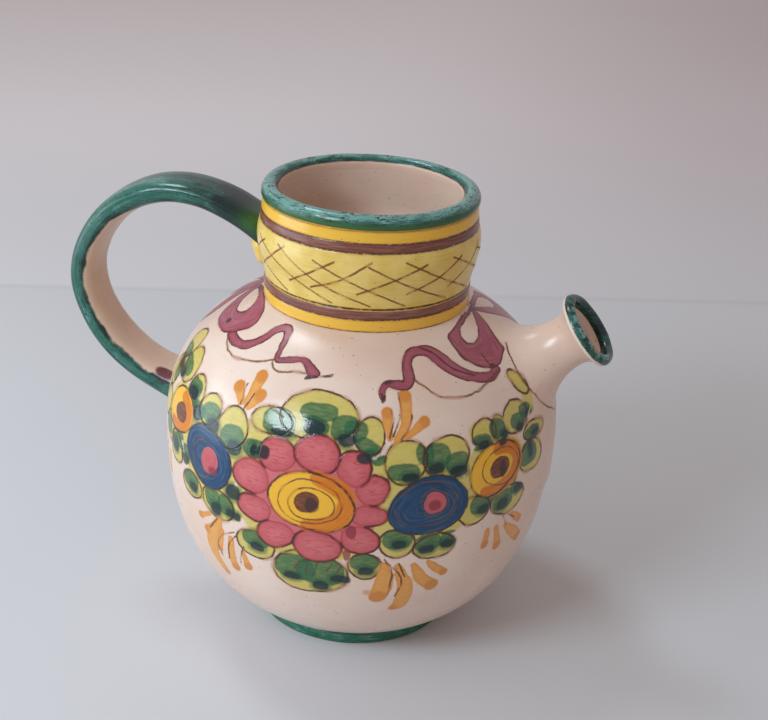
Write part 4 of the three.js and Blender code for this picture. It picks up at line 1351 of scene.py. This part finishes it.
def table_finish(colours):
    """A pale table with a faint line behind the jug, which fades into the backdrop far away."""
    material, brush, shader = new_material("pale_table")
    place = brush.node("ShaderNodeTexCoord").outputs["Object"]
    across = (-math.sin(WALL_LINE_TURN), math.cos(WALL_LINE_TURN), 0)
    reach = brush.node("ShaderNodeVectorMath", {0: place, 1: across}, operation="DOT_PRODUCT")
    past = brush.minus(reach.outputs["Value"], WALL_LINE_DISTANCE)
    cloud = brush.noise(place, 0.35, 2.0)
    far = brush.ramp(past, -0.002, 0.002)
    sideways = brush.part(place, "X")
    wall = brush.mix(brush.ramp(sideways, *WALL_SHADE_RUN), colours.wall, colours.wall_shade)
    wall = brush.mix(brush.ease(past, 0.0, WALL_FADE_RUN, 0.8, 0.0), wall, colours.table)
    colour = brush.mix(far, colours.table, wall)
    shaded_line = brush.ease(brush.math("ABSOLUTE", past), 0.001, 0.006, 0.10, 0.0)
    colour = brush.mix(shaded_line, colour, WALL_LINE_SHADE)
    colour = brush.mix(brush.ease(cloud, 0.3, 0.7, 0.0, 0.1), colour, colours.wall)
    brush.feed(shader.inputs["Base Color"], colour)
    shader.inputs["Roughness"].default_value = 0.6
    shader.inputs["Specular IOR Level"].default_value = 0.2
    away = brush.node("ShaderNodeVectorMath", {0: place}, operation="LENGTH").outputs["Value"]
    faded = brush.times(brush.ramp(away, *FLOOR_FADE_RUN), seen_rays(brush))
    backdrop = brush.node("ShaderNodeEmission", {"Color": colours.backdrop, "Strength": 1.0})
    mixed = brush.node("ShaderNodeMixShader", {0: faded, 1: shader.outputs[0], 2: backdrop.outputs[0]})
    output = material.node_tree.get_output_node("ALL")
    brush.feed(output.inputs["Surface"], mixed.outputs[0])
    return material


# Operators, one for each piece


class JUG_OT_foot(bpy.types.Operator):
    """Turn the green foot with its round edges and bare underside"""

    bl_idname = "jug.foot"
    bl_label = "Foot"

    def execute(self, context):
        size = millimetres(context.scene.jug_sizes)
        colours = context.scene.jug_colours
        radius, top, edge = size.foot_radius, size.foot_height, size.foot_edge
        outline = np.concatenate((
            ((0, 0), (radius * 0.5, 0)),
            arc(radius - edge, edge, edge, -90, 0),
            arc(radius - edge, top - edge, edge, 0, 90),
            ((radius * 0.5, top), (0, top)),
        ))
        foot = turned("turned_foot", outline, FOOT_COLUMNS)
        points = corners(foot)
        reach, turn = polar(points)
        stray = np.where(reach > radius - edge, FOOT_STRAY * drift(turn * 3, 1) - FOOT_STRAY, 0)
        points[:, :2] *= 1 + stray[:, None] / radius
        move_corners(foot, points)

        def tone(brush, place):
            level = brush.part(place, "Z")
            return brush.ease(level, 0.2, top, 0.42, 0.62)

        def bare_underside(brush, place, colour, roughness):
            level = brush.part(place, "Z")
            bare = brush.ease(brush.plus(level, hand_wobble(brush, place, 0.5)), 0.2, 0.6)
            return brush.mix(bare, colour, colours.clay), brush.blend(bare, roughness, 0.8)

        material = green_glaze("foot_green_glaze", colours, colours.foot_green, tone, bare_underside)
        dress(foot, "foot_disc", material)
        return {"FINISHED"}


class JUG_OT_belly(bpy.types.Operator):
    """Throw the belly with its floor, lip and spout hole, and paint the garland on it"""

    bl_idname = "jug.belly"
    bl_label = "Belly"

    def execute(self, context):
        size = millimetres(context.scene.jug_sizes)
        outer = even(belly_curve(size), BELLY_ROWS)
        inner = belly_curve(size, -size.belly_wall)
        opening = size.neck_radius - size.neck_wall
        floor = size.foot_height + size.belly_floor
        kept = (inner[:, 1] > floor) & ((inner[:, 1] < size.widest_level) | (inner[:, 0] > opening))
        wall = even(inner[kept], BELLY_INSIDE_ROWS)[::-1]
        lap = opening + size.lap_wall
        lip_top = size.neck_level + size.lap_height
        outline = np.concatenate((
            ((0, size.foot_height),),
            outer,
            ((lap, size.neck_level), (lap, lip_top), (opening, lip_top), (opening, wall[0, 1])),
            wall,
            ((0, floor),),
        ))
        belly = turned("thrown_belly", outline, BELLY_COLUMNS)
        self.drill(belly, size)
        for name, values in garland_fields(corners(belly), size).items():
            store_field(belly, name, values)
        dress(belly, "belly", garland_glaze(context.scene.jug_colours))
        return {"FINISHED"}

    @staticmethod
    def drill(belly, size):
        """Bores the hole behind the spout."""
        root, *_ = spout_axes(size)
        bore = size.spout_waist - size.spout_wall
        reach = 2 * size.belly_wall + size.spout_waist
        drill = new_piece("spout_drill", bpy.ops.mesh.primitive_cylinder_add, vertices=SPOUT_COLUMNS,
                          radius=bore * MM, depth=2 * reach * MM, location=root * MM,
                          rotation=(0, math.pi / 2 - SPOUT_ELEVATION, 0))
        cut = belly.modifiers.new("spout hole", "BOOLEAN")
        cut.operation = "DIFFERENCE"
        cut.solver = "EXACT"
        cut.object = drill
        bpy.context.view_layer.objects.active = belly
        bpy.ops.object.modifier_apply(modifier=cut.name)
        bpy.data.objects.remove(drill)


class JUG_OT_neck(bpy.types.Operator):
    """Throw the banded neck and scratch its trellis"""

    bl_idname = "jug.neck"
    bl_label = "Neck"

    def execute(self, context):
        size = millimetres(context.scene.jug_sizes)
        curve = neck_curve(size)
        outside = even(curve, NECK_ROWS)
        smooth = np.interp(curve[:, 1], outside[::INSIDE_STRIDE, 1], outside[::INSIDE_STRIDE, 0])
        lap_level = size.neck_level + size.lap_height + size.seam
        inside_levels = np.linspace(size.rim_level, lap_level, NECK_INSIDE_ROWS)
        inside_radii = np.interp(inside_levels, curve[:, 1], smooth) - size.neck_wall
        crease = size.rim_top - INSIDE_CREASE_RISE
        opening = size.neck_radius - size.neck_wall
        step = 1 / (1 + np.exp((inside_levels - crease) / INSIDE_CREASE_SOFT))
        inside_radii = np.maximum(inside_radii - INSIDE_CREASE_STEP * step, opening)
        mouth = size.rim_mouth + INSIDE_EASE * (size.rim_level - inside_levels)
        inside_radii = np.minimum(inside_radii, mouth)
        lap = opening + size.lap_wall + size.seam
        outline = np.concatenate((
            ((lap, size.neck_level),),
            outside,
            stacked(inside_radii, inside_levels),
            ((lap, inside_levels[-1]), (lap, size.neck_level)),
        ))
        neck = turned("banded_neck", outline, NECK_COLUMNS)
        points = corners(neck)
        skin = TurnedSurface(curve)
        radius, _ = polar(points)
        outer = skin.radius(points[:, 2]) - radius < SKIN_DEPTH
        for name, lines, seed in (("falling", FALLING_LINES, 1), ("rising", RISING_LINES, 2)):
            side, near = skin.lines(points, self.trellis(lines, size, seed))
            side[~outer] = near[~outer] = FIELD_LIMIT
            store_field(neck, name, side)
            store_field(neck, name + "_near", near)
            groove = TRELLIS_DEPTH * np.exp(-(near / TRELLIS_WIDTH) ** 2)
            burr_gap = near - TRELLIS_BURR_PLACE * TRELLIS_WIDTH
            burr = TRELLIS_BURR * np.exp(-(burr_gap / TRELLIS_WIDTH) ** 2)
            points[:, :2] *= 1 + ((burr - groove) * outer / radius)[:, None]
        store_field(neck, "outside", np.where(outer, -FIELD_LIMIT, FIELD_LIMIT))
        _, turn = polar(points)
        rise = points[:, 2] - size.neck_level
        stray = NECK_STRAY * drift(turn * 2, 5) * np.sin(rise / NECK_STRAY_LENGTH)
        points[:, :2] *= 1 + (stray / radius)[:, None]
        move_corners(neck, points)
        dress(neck, "neck_collar", neck_glaze(context.scene.jug_colours, size))
        return {"FINISHED"}

    @staticmethod
    def trellis(lines, size, seed):
        """One family of scratched lines round the neck, each a little different."""
        top = size.neck_level + TRELLIS_TOP_RISE
        bottom = size.neck_level + lines.bottom_rise
        paths = []
        for k in range(TRELLIS_COUNT):
            stray = TRELLIS_STRAY * math.sin(k * 2.4 + seed)
            start = lines.start + 360 / TRELLIS_COUNT * k + stray
            end = start + lines.turn + TRELLIS_TURN_STRAY * math.sin(k * 1.3 + seed)
            sag = TRELLIS_SAG_STRAY * math.sin(k * 3.1 + seed) - TRELLIS_SAG
            middle = (start + end) / 2, (top + bottom) / 2 + sag
            paths.append(((start, top + math.sin(k * 1.9)), middle, (end, bottom)))
        return paths


class JUG_OT_rim(bpy.types.Operator):
    """Roll the green rim"""

    bl_idname = "jug.rim"
    bl_label = "Rim"

    def execute(self, context):
        size = millimetres(context.scene.jug_sizes)
        colours = context.scene.jug_colours
        outline = roll_curve(size.rim_mouth, size.rim_radius, size.rim_level, size.rim_top - size.rim_level)
        rim = turned("rolled_rim", outline, RIM_COLUMNS)
        points = corners(rim)
        _, turn = polar(points)
        height = (points[:, 2] - size.rim_level) / (size.rim_top - size.rim_level)
        points[:, 2] -= np.clip(height, 0, 1) * (RIM_DIP + RIM_DIP * drift(turn * 3, 2))
        points[:, :2] *= 1 - (RIM_PINCH + RIM_PINCH * drift(turn * 2, 4))[:, None] / size.rim_radius
        move_corners(rim, points)
        radius, _ = polar(points)
        middle = (size.rim_mouth + size.rim_radius) / 2
        half = (size.rim_radius - size.rim_mouth) / 2
        lean = (radius - middle) / half
        store_field(rim, "lean", lean)
        store_field(rim, "height", height)

        def tone(brush, place):
            # Lighter towards the crest, partly from thinner glaze and partly as a painted highlight; darker
            # on the inner side.
            crest = brush.ease(brush.field("height"), 0.3, 0.85, 0.24, 1.0)
            inner = brush.ease(brush.field("lean"), -0.8, -0.35, -0.6, 0.0)
            return brush.plus(crest, inner)

        def edges(brush, place, colour, roughness):
            wobble = hand_wobble(brush, place, 0.5)
            height = brush.plus(brush.field("height"), brush.times(wobble, 0.2))
            outer = brush.ramp(brush.field("lean"), 0.0, 0.4)
            grassy = brush.times(brush.ease(height, 0.25, 0.6, 0.85, 0.0), outer)
            colour = brush.mix(grassy, colour, colours.green_leaf)
            inner = brush.plus(brush.field("lean"), brush.times(wobble, 0.5))
            bare = brush.times(brush.ease(inner, -0.8, -0.7), brush.ease(height, 0.5, 0.62))
            return brush.mix(bare, colour, colours.tin_warm), brush.blend(bare, roughness, 0.3)

        material = green_glaze("rim_green_glaze", colours, colours.green, tone, edges, streaky=0.6, pits=1.5)
        dress(rim, "rim_roll", material)
        return {"FINISHED"}


def place_on_spout(points, size):
    """Moves points from the spout's own frame, along Z, to its place on the belly."""
    root, axis, up, side = spout_axes(size)
    return root + points[:, :1] * -up + points[:, 1:2] * side + points[:, 2:] * axis


def belly_gap(points, size):
    """Distance of points to the belly's outside, the nearest place on it, and the way out there."""
    curve = even(belly_curve(size), GAP_STEPS)
    radius, turn = polar(points)
    flat = stacked(radius, points[:, 2])
    nearest = np.array([np.argmin(((curve - p) ** 2).sum(axis=1)) for p in flat])
    run = np.gradient(curve, axis=0)
    chosen = unit(stacked(run[:, 1], -run[:, 0]))[nearest]
    gap = ((flat - curve[nearest]) * chosen).sum(axis=1)
    outward = stacked(chosen[:, 0] * np.cos(turn), chosen[:, 0] * np.sin(turn), chosen[:, 1])
    return gap, points - gap[:, None] * outward, outward


def trumpet_skirt(size, count):
    """Distance from the axis and along it, from deep under the root up to the waist."""
    angle = np.linspace(SPOUT_SWEEP, 0, FILLET_STEPS)
    fillet = stacked(size.spout_waist + size.spout_fillet * (1 - np.cos(angle)),
                     size.spout_waist_place - size.spout_fillet * np.sin(angle))
    run = np.array((math.sin(SPOUT_SWEEP), -math.cos(SPOUT_SWEEP))) * size.spout_skirt
    return even(np.concatenate((fillet[:1] + run, fillet)), count)


def trumpet_flare(size, count):
    """The same from the waist out to the mouth."""
    sweep = math.asin((size.spout_length - size.spout_waist_place) / size.spout_flare)
    angle = np.linspace(0, sweep, count)
    return stacked(size.spout_waist + size.spout_flare * (1 - np.cos(angle)),
                   size.spout_waist_place + size.spout_flare * np.sin(angle))


class JUG_OT_spout(bpy.types.Operator):
    """Throw the trumpet spout and draw its root out over the belly"""

    bl_idname = "jug.spout"
    bl_label = "Spout"

    def execute(self, context):
        size = millimetres(context.scene.jug_sizes)
        skirt = trumpet_skirt(size, SPOUT_SKIRT_ROWS)
        flare = trumpet_flare(size, SPOUT_FLARE_ROWS)
        inside = flare[::-1] - (size.spout_wall, 0)
        bore_top = inside[-1]
        bore = np.linspace(bore_top, (bore_top[0], skirt[0, 1]), SPOUT_BORE_ROWS)
        outline = np.concatenate((skirt, flare[1:], inside, bore[1:], skirt[:1]))
        spout = turned("trumpet_spout", outline, SPOUT_COLUMNS)
        points = corners(spout)
        radius, turn = polar(points)
        flat = stacked(radius, points[:, 2])
        row = np.array([np.argmin(((outline[:-1] - p) ** 2).sum(axis=1)) for p in flat])
        column = np.round(turn / math.tau * SPOUT_COLUMNS).astype(int)
        placed = place_on_spout(points, size)
        for k in np.unique(column % SPOUT_COLUMNS):
            members = np.flatnonzero(column % SPOUT_COLUMNS == k)
            self.seat_column(placed, members[np.argsort(row[members])], k * math.tau / SPOUT_COLUMNS, size)
        move_corners(spout, placed)
        for name, values in garland_fields(placed, size).items():
            store_field(spout, name, values)
        dress(spout, "spout", garland_glaze(context.scene.jug_colours))
        return {"FINISHED"}

    @staticmethod
    def seat_column(placed, members, turn, size):
        """Moves one column of corners so that it leaves the belly in a smooth hollow curve."""
        way = np.array((math.cos(turn), math.sin(turn)))

        def on_column(curve):
            return place_on_spout(stacked(curve[:, 0] * way[0], curve[:, 0] * way[1], curve[:, 1]), size)

        blend = size.spout_blend
        fine = trumpet_skirt(size, COLUMN_STEPS)
        gap, _, _ = belly_gap(on_column(fine), size)
        start = np.flatnonzero(gap > -blend)[0]
        rows = even(fine[start:], SPOUT_SKIRT_ROWS)
        seated = on_column(rows)
        gap, foot, outward = belly_gap(seated, size)
        lifted = np.where(np.abs(gap) < blend, (gap + blend) ** 2 / (4 * blend), gap)
        lifted[0] = -SPOUT_ROOT_SINK
        placed[members[:SPOUT_SKIRT_ROWS]] = foot + np.maximum(lifted, -SPOUT_ROOT_SINK)[:, None] * outward
        bore_radius = size.spout_waist - size.spout_wall
        depth = np.linspace(size.spout_waist_place, -2 * blend, COLUMN_STEPS)
        gap, _, _ = belly_gap(on_column(stacked(np.full(COLUMN_STEPS, bore_radius), depth)), size)
        end = depth[np.flatnonzero(gap < -size.seam)[0]]
        depth = np.linspace(size.spout_waist_place, end, SPOUT_BORE_ROWS)
        placed[members[-SPOUT_BORE_ROWS:]] = on_column(stacked(np.full(SPOUT_BORE_ROWS, bore_radius), depth))


class JUG_OT_lip(bpy.types.Operator):
    """Roll the green lip round the spout's mouth"""

    bl_idname = "jug.lip"
    bl_label = "Spout lip"

    def execute(self, context):
        size = millimetres(context.scene.jug_sizes)
        colours = context.scene.jug_colours
        mouth = trumpet_flare(size, 2)[-1, 0]
        inner, outer = mouth - size.spout_wall, mouth + size.lip_proud
        outline = roll_curve(inner, outer, size.spout_length, size.lip_height + size.seam)
        lip = turned("rolled_lip", outline, SPOUT_COLUMNS)
        points = corners(lip)
        radius, turn = polar(points)
        height = (points[:, 2] - size.spout_length) / (size.lip_height + size.seam)
        points[:, 2] -= np.clip(height, 0, 1) * (LIP_DIP + LIP_DIP_STRAY * drift(turn * 2, 3))
        points[:, :2] *= 1 - (LIP_PINCH + LIP_PINCH_STRAY * drift(turn * 2, 7))[:, None] / outer
        half = (outer - inner) / 2
        lean = (radius - inner) / half - 1
        store_field(lip, "lean", lean)
        chip = np.hypot((turn - CHIP_TURN) * outer / CHIP_STRETCH, lean * half - CHIP_SIDE)
        store_field(lip, "chip", np.minimum(chip - CHIP_REACH, FIELD_LIMIT))
        store_field(lip, "height", height)
        # How far round towards the front, the side facing the window, where light is painted on the lip.
        store_field(lip, "front", -np.sin(turn))
        move_corners(lip, place_on_spout(points, size))

        def tone(brush, place):
            # Patchy pale strokes on the inner side, painted only on the front as painted light.
            inner_side = brush.ease(brush.field("lean"), 0.3, 0.95, 0.7, 0.1)
            front = brush.ramp(brush.field("front"), 0.1, 0.8)
            patch = brush.ramp(brush.noise(place, 3.0, 3.0), 0.44, 0.58)
            pale_strokes_and_light = brush.times(brush.times(inner_side, front), patch)
            return brush.plus(brush.times(pale_strokes_and_light, 2.1), 0.18)

        def edges(brush, place, colour, roughness):
            wobble = hand_wobble(brush, place, 0.4)
            height = brush.plus(brush.field("height"), brush.times(wobble, 0.5))
            lean = brush.field("lean")
            bare = brush.times(brush.ease(height, 0.24, 0.36), brush.ramp(lean, 0.2, 0.4))
            colour = brush.mix(bare, colour, colours.tin)
            rough_edge = brush.plus(brush.field("chip"), hand_wobble(brush, place, 1.6))
            worn = brush.ease(rough_edge, -0.3, 0.4, 0.72)
            dry = brush.larger(brush.times(bare, 0.3), brush.times(worn, 0.8))
            return brush.mix(worn, colour, colours.clay), brush.larger(roughness, dry)

        material = green_glaze("lip_green_glaze", colours, colours.green, tone, edges)
        dress(lip, "spout_lip", material)
        return {"FINISHED"}


def handle_path(size, count):
    """Reach from the axis and level along the strap's centreline, from the neck to the belly."""
    top_level = size.neck_level + size.handle_top_rise
    root_level = size.widest_level + size.handle_root_rise
    top = np.array((TurnedSurface(neck_curve(size)).radius(top_level) - size.handle_sink, top_level))
    root = np.array((TurnedSurface(belly_curve(size)).radius(root_level) - size.handle_sink, root_level))
    grip = np.array((size.handle_reach, size.widest_level + size.handle_grip_rise))
    top_way = np.array((math.cos(HANDLE_TOP_SLOPE), math.sin(HANDLE_TOP_SLOPE)))
    root_way = np.array((math.cos(HANDLE_ROOT_SLOPE), math.sin(HANDLE_ROOT_SLOPE)))
    upper = bezier(top, top + size.handle_top_arm * top_way, grip + (0, size.handle_grip_up), grip)
    lower = bezier(grip, grip - (0, size.handle_grip_down), root + size.handle_root_arm * root_way, root)
    start = top - size.handle_top_depth * top_way
    end = root - size.handle_root_depth * root_way
    return even(np.concatenate((start[None], upper, lower[1:], end[None])), count)


def bezier(a, b, c, d):
    """A curve from a to d that sets off towards b and comes in from c."""
    part = np.linspace(0, 1, BEZIER_STEPS)[:, None]
    rest = 1 - part
    return rest ** 3 * a + 3 * rest ** 2 * part * b + 3 * rest * part ** 2 * c + part ** 3 * d


class JUG_OT_handle(bpy.types.Operator):
    """Pull the strap handle from the neck to the belly"""

    bl_idname = "jug.handle"
    bl_label = "Handle"

    def execute(self, context):
        size = millimetres(context.scene.jug_sizes)
        handle = self.straight_strap()
        local = corners(handle)
        ring = np.round(local[:, 2]).astype(int)
        _, angle = polar(local)
        path = handle_path(size, HANDLE_RINGS)
        ahead = unit(np.gradient(path, axis=0))
        part = np.linspace(0, 1, HANDLE_RINGS)
        travel = part * np.linalg.norm(np.diff(path, axis=0), axis=1).sum()
        from_root = np.maximum(0, travel[-1] - travel - size.handle_root_depth)
        swell = 1 + HANDLE_END_SWELL * np.exp(-from_root / HANDLE_END_SWELL_LENGTH)
        width = size.handle_top_width + (size.handle_root_width - size.handle_top_width) * part
        depth = size.handle_top_depth + (size.handle_root_depth - size.handle_top_depth) * part
        half_width = width / 2 * swell
        half_depth = depth / 2 * swell
        half_width -= STRAP_WIDTH_STRAY + STRAP_WIDTH_STRAY * drift(travel / STRAP_WIDTH_STRAY_LENGTH, 3)
        half_depth -= STRAP_DEPTH_STRAY + STRAP_DEPTH_STRAY * drift(travel / STRAP_DEPTH_STRAY_LENGTH, 6)
        fullness = np.where(np.sin(angle) > 0, HANDLE_OUTER_FULLNESS, HANDLE_INNER_FULLNESS)
        across = -np.sign(np.cos(angle)) * np.abs(np.cos(angle)) ** (2 / fullness) * half_width[ring]
        through = np.sign(np.sin(angle)) * np.abs(np.sin(angle)) ** (2 / fullness) * half_depth[ring]
        outward = stacked(-ahead[:, 1], ahead[:, 0])
        flat = path[ring] + outward[ring] * through[:, None]
        points = stacked(-flat[:, 0], across, flat[:, 1])
        points = self.stop_in_walls(points, size)
        move_corners(handle, points)
        self.store_tones(handle, travel[ring], travel[-1], across, through,
                         half_width[ring], half_depth[ring])
        dress(handle, "strap_handle", handle_glaze(context.scene.jug_colours))
        return {"FINISHED"}

    @staticmethod
    def straight_strap():
        """A straight tube with its rings one millimetre apart, closed at both ends."""
        strap = new_piece("pulled_handle", bpy.ops.mesh.primitive_circle_add,
                          vertices=HANDLE_SIDES, radius=10 * MM, fill_type="NGON")
        bpy.ops.object.mode_set(mode="EDIT")
        for _ in range(HANDLE_RINGS - 1):
            bpy.ops.mesh.select_mode(type="FACE")
            bpy.ops.mesh.extrude_region_move(TRANSFORM_OT_translate={"value": (0, 0, MM)})
        finish_edit()
        return strap

    @staticmethod
    def stop_in_walls(points, size):
        """Keeps the ends from running deeper into the neck and the belly than the sink."""
        radius, _ = polar(points)
        neck = TurnedSurface(neck_curve(size)).radius(points[:, 2]) - size.handle_sink
        in_neck = (points[:, 2] > size.neck_level) & (radius < neck)
        points[in_neck, :2] *= (neck / radius)[in_neck, None]
        gap, foot, outward = belly_gap(points, size)
        in_belly = (points[:, 2] < size.neck_level) & (gap < -size.handle_sink)
        points[in_belly] = (foot - size.handle_sink * outward)[in_belly]
        return points

    @staticmethod
    def store_tones(handle, travel, whole, across, through, half_width, half_depth):
        """Fields for the strap's colours: where it is bare, thin, grassy or blotted, and where a sheen is
        painted on its crown.
        """
        to_root = whole - travel
        opened = np.clip((travel - BARE_START) / BARE_WIDENING, 0, 1) ** 0.5
        bare = np.maximum(np.abs(across) - BARE_SHARE * half_width * opened, through + 0.35 * half_depth)
        bare = np.maximum(bare, BARE_START - travel)
        store_field(handle, "bare", np.clip(bare, -FIELD_LIMIT, FIELD_LIMIT))
        store_field(handle, "strap", stacked(travel, across, through))
        turn = np.arctan2(through / half_depth, np.abs(across) / half_width)
        outer = np.clip(through / half_depth, -1, 1)
        side = np.exp(-((turn - 0.1) / 0.4) ** 2)
        ridge = np.exp(-((turn - 0.4) / 0.15) ** 2)
        # Painted sheen: a lighter band along the top of the strap round its crown.
        sheen_across = np.exp(-((np.abs(across) / half_width - 0.55) / 0.35) ** 2) * np.clip(2 * outer, 0, 1)
        painted_sheen = sheen_across * np.exp(-((travel - SHEEN_PLACE) / SHEEN_LENGTH) ** 2)
        edge = np.exp(-(np.clip(bare, 0, None) / 1.5) ** 2)
        thin = 0.35 + 0.16 * side + 0.5 * painted_sheen - 0.14 * ridge - 0.34 * edge * (1 - 0.4 * side)
        thin -= 0.8 * np.exp(-(travel / DARK_TOP_LENGTH) ** 2)
        store_field(handle, "thin", thin)
        grassy = np.exp(-((travel - GRASSY_PLACE) / GRASSY_LENGTH) ** 2)
        store_field(handle, "grassy", grassy * np.clip(0.6 + outer, 0, 1) * 0.9)
        reach = np.hypot((to_root - BLOT_PLACE) / 1.8, (across + half_width * 0.8) / 0.9)
        blot = np.where(outer < -0.1, reach - BLOT_REACH, FIELD_LIMIT)
        store_field(handle, "blot", np.clip(blot, -FIELD_LIMIT, FIELD_LIMIT))


class JUG_OT_wad(bpy.types.Operator):
    """Press the lump of clay under the handle's upper joint"""

    bl_idname = "jug.wad"
    bl_label = "Handle wad"

    def execute(self, context):
        size = millimetres(context.scene.jug_sizes)
        skin = TurnedSurface(neck_curve(size))
        level = size.neck_level + size.handle_top_rise - size.wad_drop
        wad = new_piece("pressed_wad", bpy.ops.mesh.primitive_uv_sphere_add,
                        segments=WAD_SEGMENTS, ring_count=WAD_SEGMENTS // 2, radius=MM)
        bpy.ops.object.mode_set(mode="EDIT")
        finish_edit()
        points = corners(wad)
        points[:, :2] *= np.array(WAD_MIDDLE) + np.array(WAD_GROWTH) * points[:, 2:]
        lumps = 1 + 0.05 * np.sin(points[:, 1] * 5 + 1) * np.sin(points[:, 2] * 4)
        lumps += 0.03 * np.sin(points[:, 2] * 9)
        points *= lumps[:, None] * np.multiply((size.wad_proud, size.wad_width, size.wad_height), WAD_SHARE)
        points += (-skin.radius(level), 0, level)
        radius, _ = polar(points)
        wall = skin.radius(points[:, 2])
        seat = wall - size.seam
        deep = radius < seat
        points[deep, :2] *= (seat / radius)[deep, None]
        move_corners(wad, points)
        crease = polar(points)[0] - wall - 0.3
        store_field(wad, "crease", np.clip(crease, -1, FIELD_LIMIT))
        dress(wad, "handle_wad", wad_glaze(context.scene.jug_colours))
        return {"FINISHED"}


class JUG_OT_stage(bpy.types.Operator):
    """Set the pale table, the window's light, the room's light and the camera"""

    bl_idname = "jug.stage"
    bl_label = "Stage"

    def execute(self, context):
        colours = context.scene.jug_colours
        table = new_piece("pale_table", bpy.ops.mesh.primitive_plane_add, size=FLOOR_SIZE)
        table.data.transform(Matrix.Translation((0, 0, -FLOOR_DROP)))
        table.data.materials.append(table_finish(colours))
        for light in LIGHTS:
            self.add_light(light, colours.window)
        self.add_room(context.scene, colours)
        self.add_camera(context.scene)
        context.scene.view_settings.view_transform = "Standard"
        return {"FINISHED"}

    @staticmethod
    def add_light(light, colour):
        place = LIGHT_AIM + Vector(light.direction).normalized() * light.distance
        turn = (LIGHT_AIM - place).to_track_quat("-Z", "Y").to_euler()
        bpy.ops.object.light_add(type="AREA", location=place, rotation=turn)
        lamp = bpy.context.object
        lamp.name = light.name
        lamp.data.shape = "RECTANGLE"
        lamp.data.size, lamp.data.size_y = light.size
        lamp.data.energy = light.power
        lamp.data.color = colour[:3]

    @staticmethod
    def add_room(scene, colours):
        world = bpy.data.worlds.new("pale_room")
        scene.world = world
        world.use_nodes = True
        world.node_tree.nodes.clear()
        brush = Brush(world.node_tree)
        light = brush.node("ShaderNodeBackground", {"Color": colours.sky, "Strength": SKY_STRENGTH})
        shown = brush.node("ShaderNodeBackground", {"Color": colours.backdrop, "Strength": 1.0})
        surfaces = {0: seen_rays(brush), 1: light.outputs[0], 2: shown.outputs[0]}
        mixed = brush.node("ShaderNodeMixShader", surfaces)
        brush.node("ShaderNodeOutputWorld", {"Surface": mixed.outputs[0]})

    @staticmethod
    def add_camera(scene):
        bpy.ops.object.camera_add(location=CAMERA_PLACE)
        camera = bpy.context.object
        camera.name = "photo_camera"
        turn = (Matrix.Rotation(-CAMERA_HEADING, 4, "Z") @ Matrix.Rotation(math.pi / 2 - CAMERA_PITCH, 4, "X")
                @ Matrix.Rotation(CAMERA_ROLL, 4, "Z"))
        camera.matrix_world = Matrix.Translation(CAMERA_PLACE) @ turn
        camera.data.lens = CAMERA_LENS
        camera.data.dof.use_dof = False
        scene.camera = camera


class JUG_PT_pieces(bpy.types.Panel):
    """Lists the jug's pieces in the sidebar"""

    bl_idname = "JUG_PT_pieces"
    bl_label = "Maiolica jug"
    bl_space_type = "VIEW_3D"
    bl_region_type = "UI"
    bl_category = "Jug"

    def draw(self, context):
        for operator in PIECE_OPERATORS:
            self.layout.operator(operator.bl_idname)
        for group in (context.scene.jug_sizes, context.scene.jug_colours):
            for name in group.__annotations__:
                self.layout.prop(group, name)


PIECE_OPERATORS = (JUG_OT_stage, JUG_OT_foot, JUG_OT_belly, JUG_OT_neck, JUG_OT_rim, JUG_OT_spout, JUG_OT_lip,
                   JUG_OT_handle, JUG_OT_wad)
CLASSES = (JugSizes, GlazeColours, *PIECE_OPERATORS, JUG_PT_pieces)


def register():
    for cls in CLASSES:
        bpy.utils.register_class(cls)
    bpy.types.Scene.jug_sizes = bpy.props.PointerProperty(type=JugSizes)
    bpy.types.Scene.jug_colours = bpy.props.PointerProperty(type=GlazeColours)


def unregister():
    del bpy.types.Scene.jug_colours
    del bpy.types.Scene.jug_sizes
    for cls in reversed(CLASSES):
        bpy.utils.unregister_class(cls)


def main():
    register()
    bpy.ops.jug.stage()
    bpy.ops.jug.foot()
    bpy.ops.jug.belly()
    bpy.ops.jug.neck()
    bpy.ops.jug.rim()
    bpy.ops.jug.spout()
    bpy.ops.jug.lip()
    bpy.ops.jug.handle()
    bpy.ops.jug.wad()


if __name__ == "__main__":
    main()
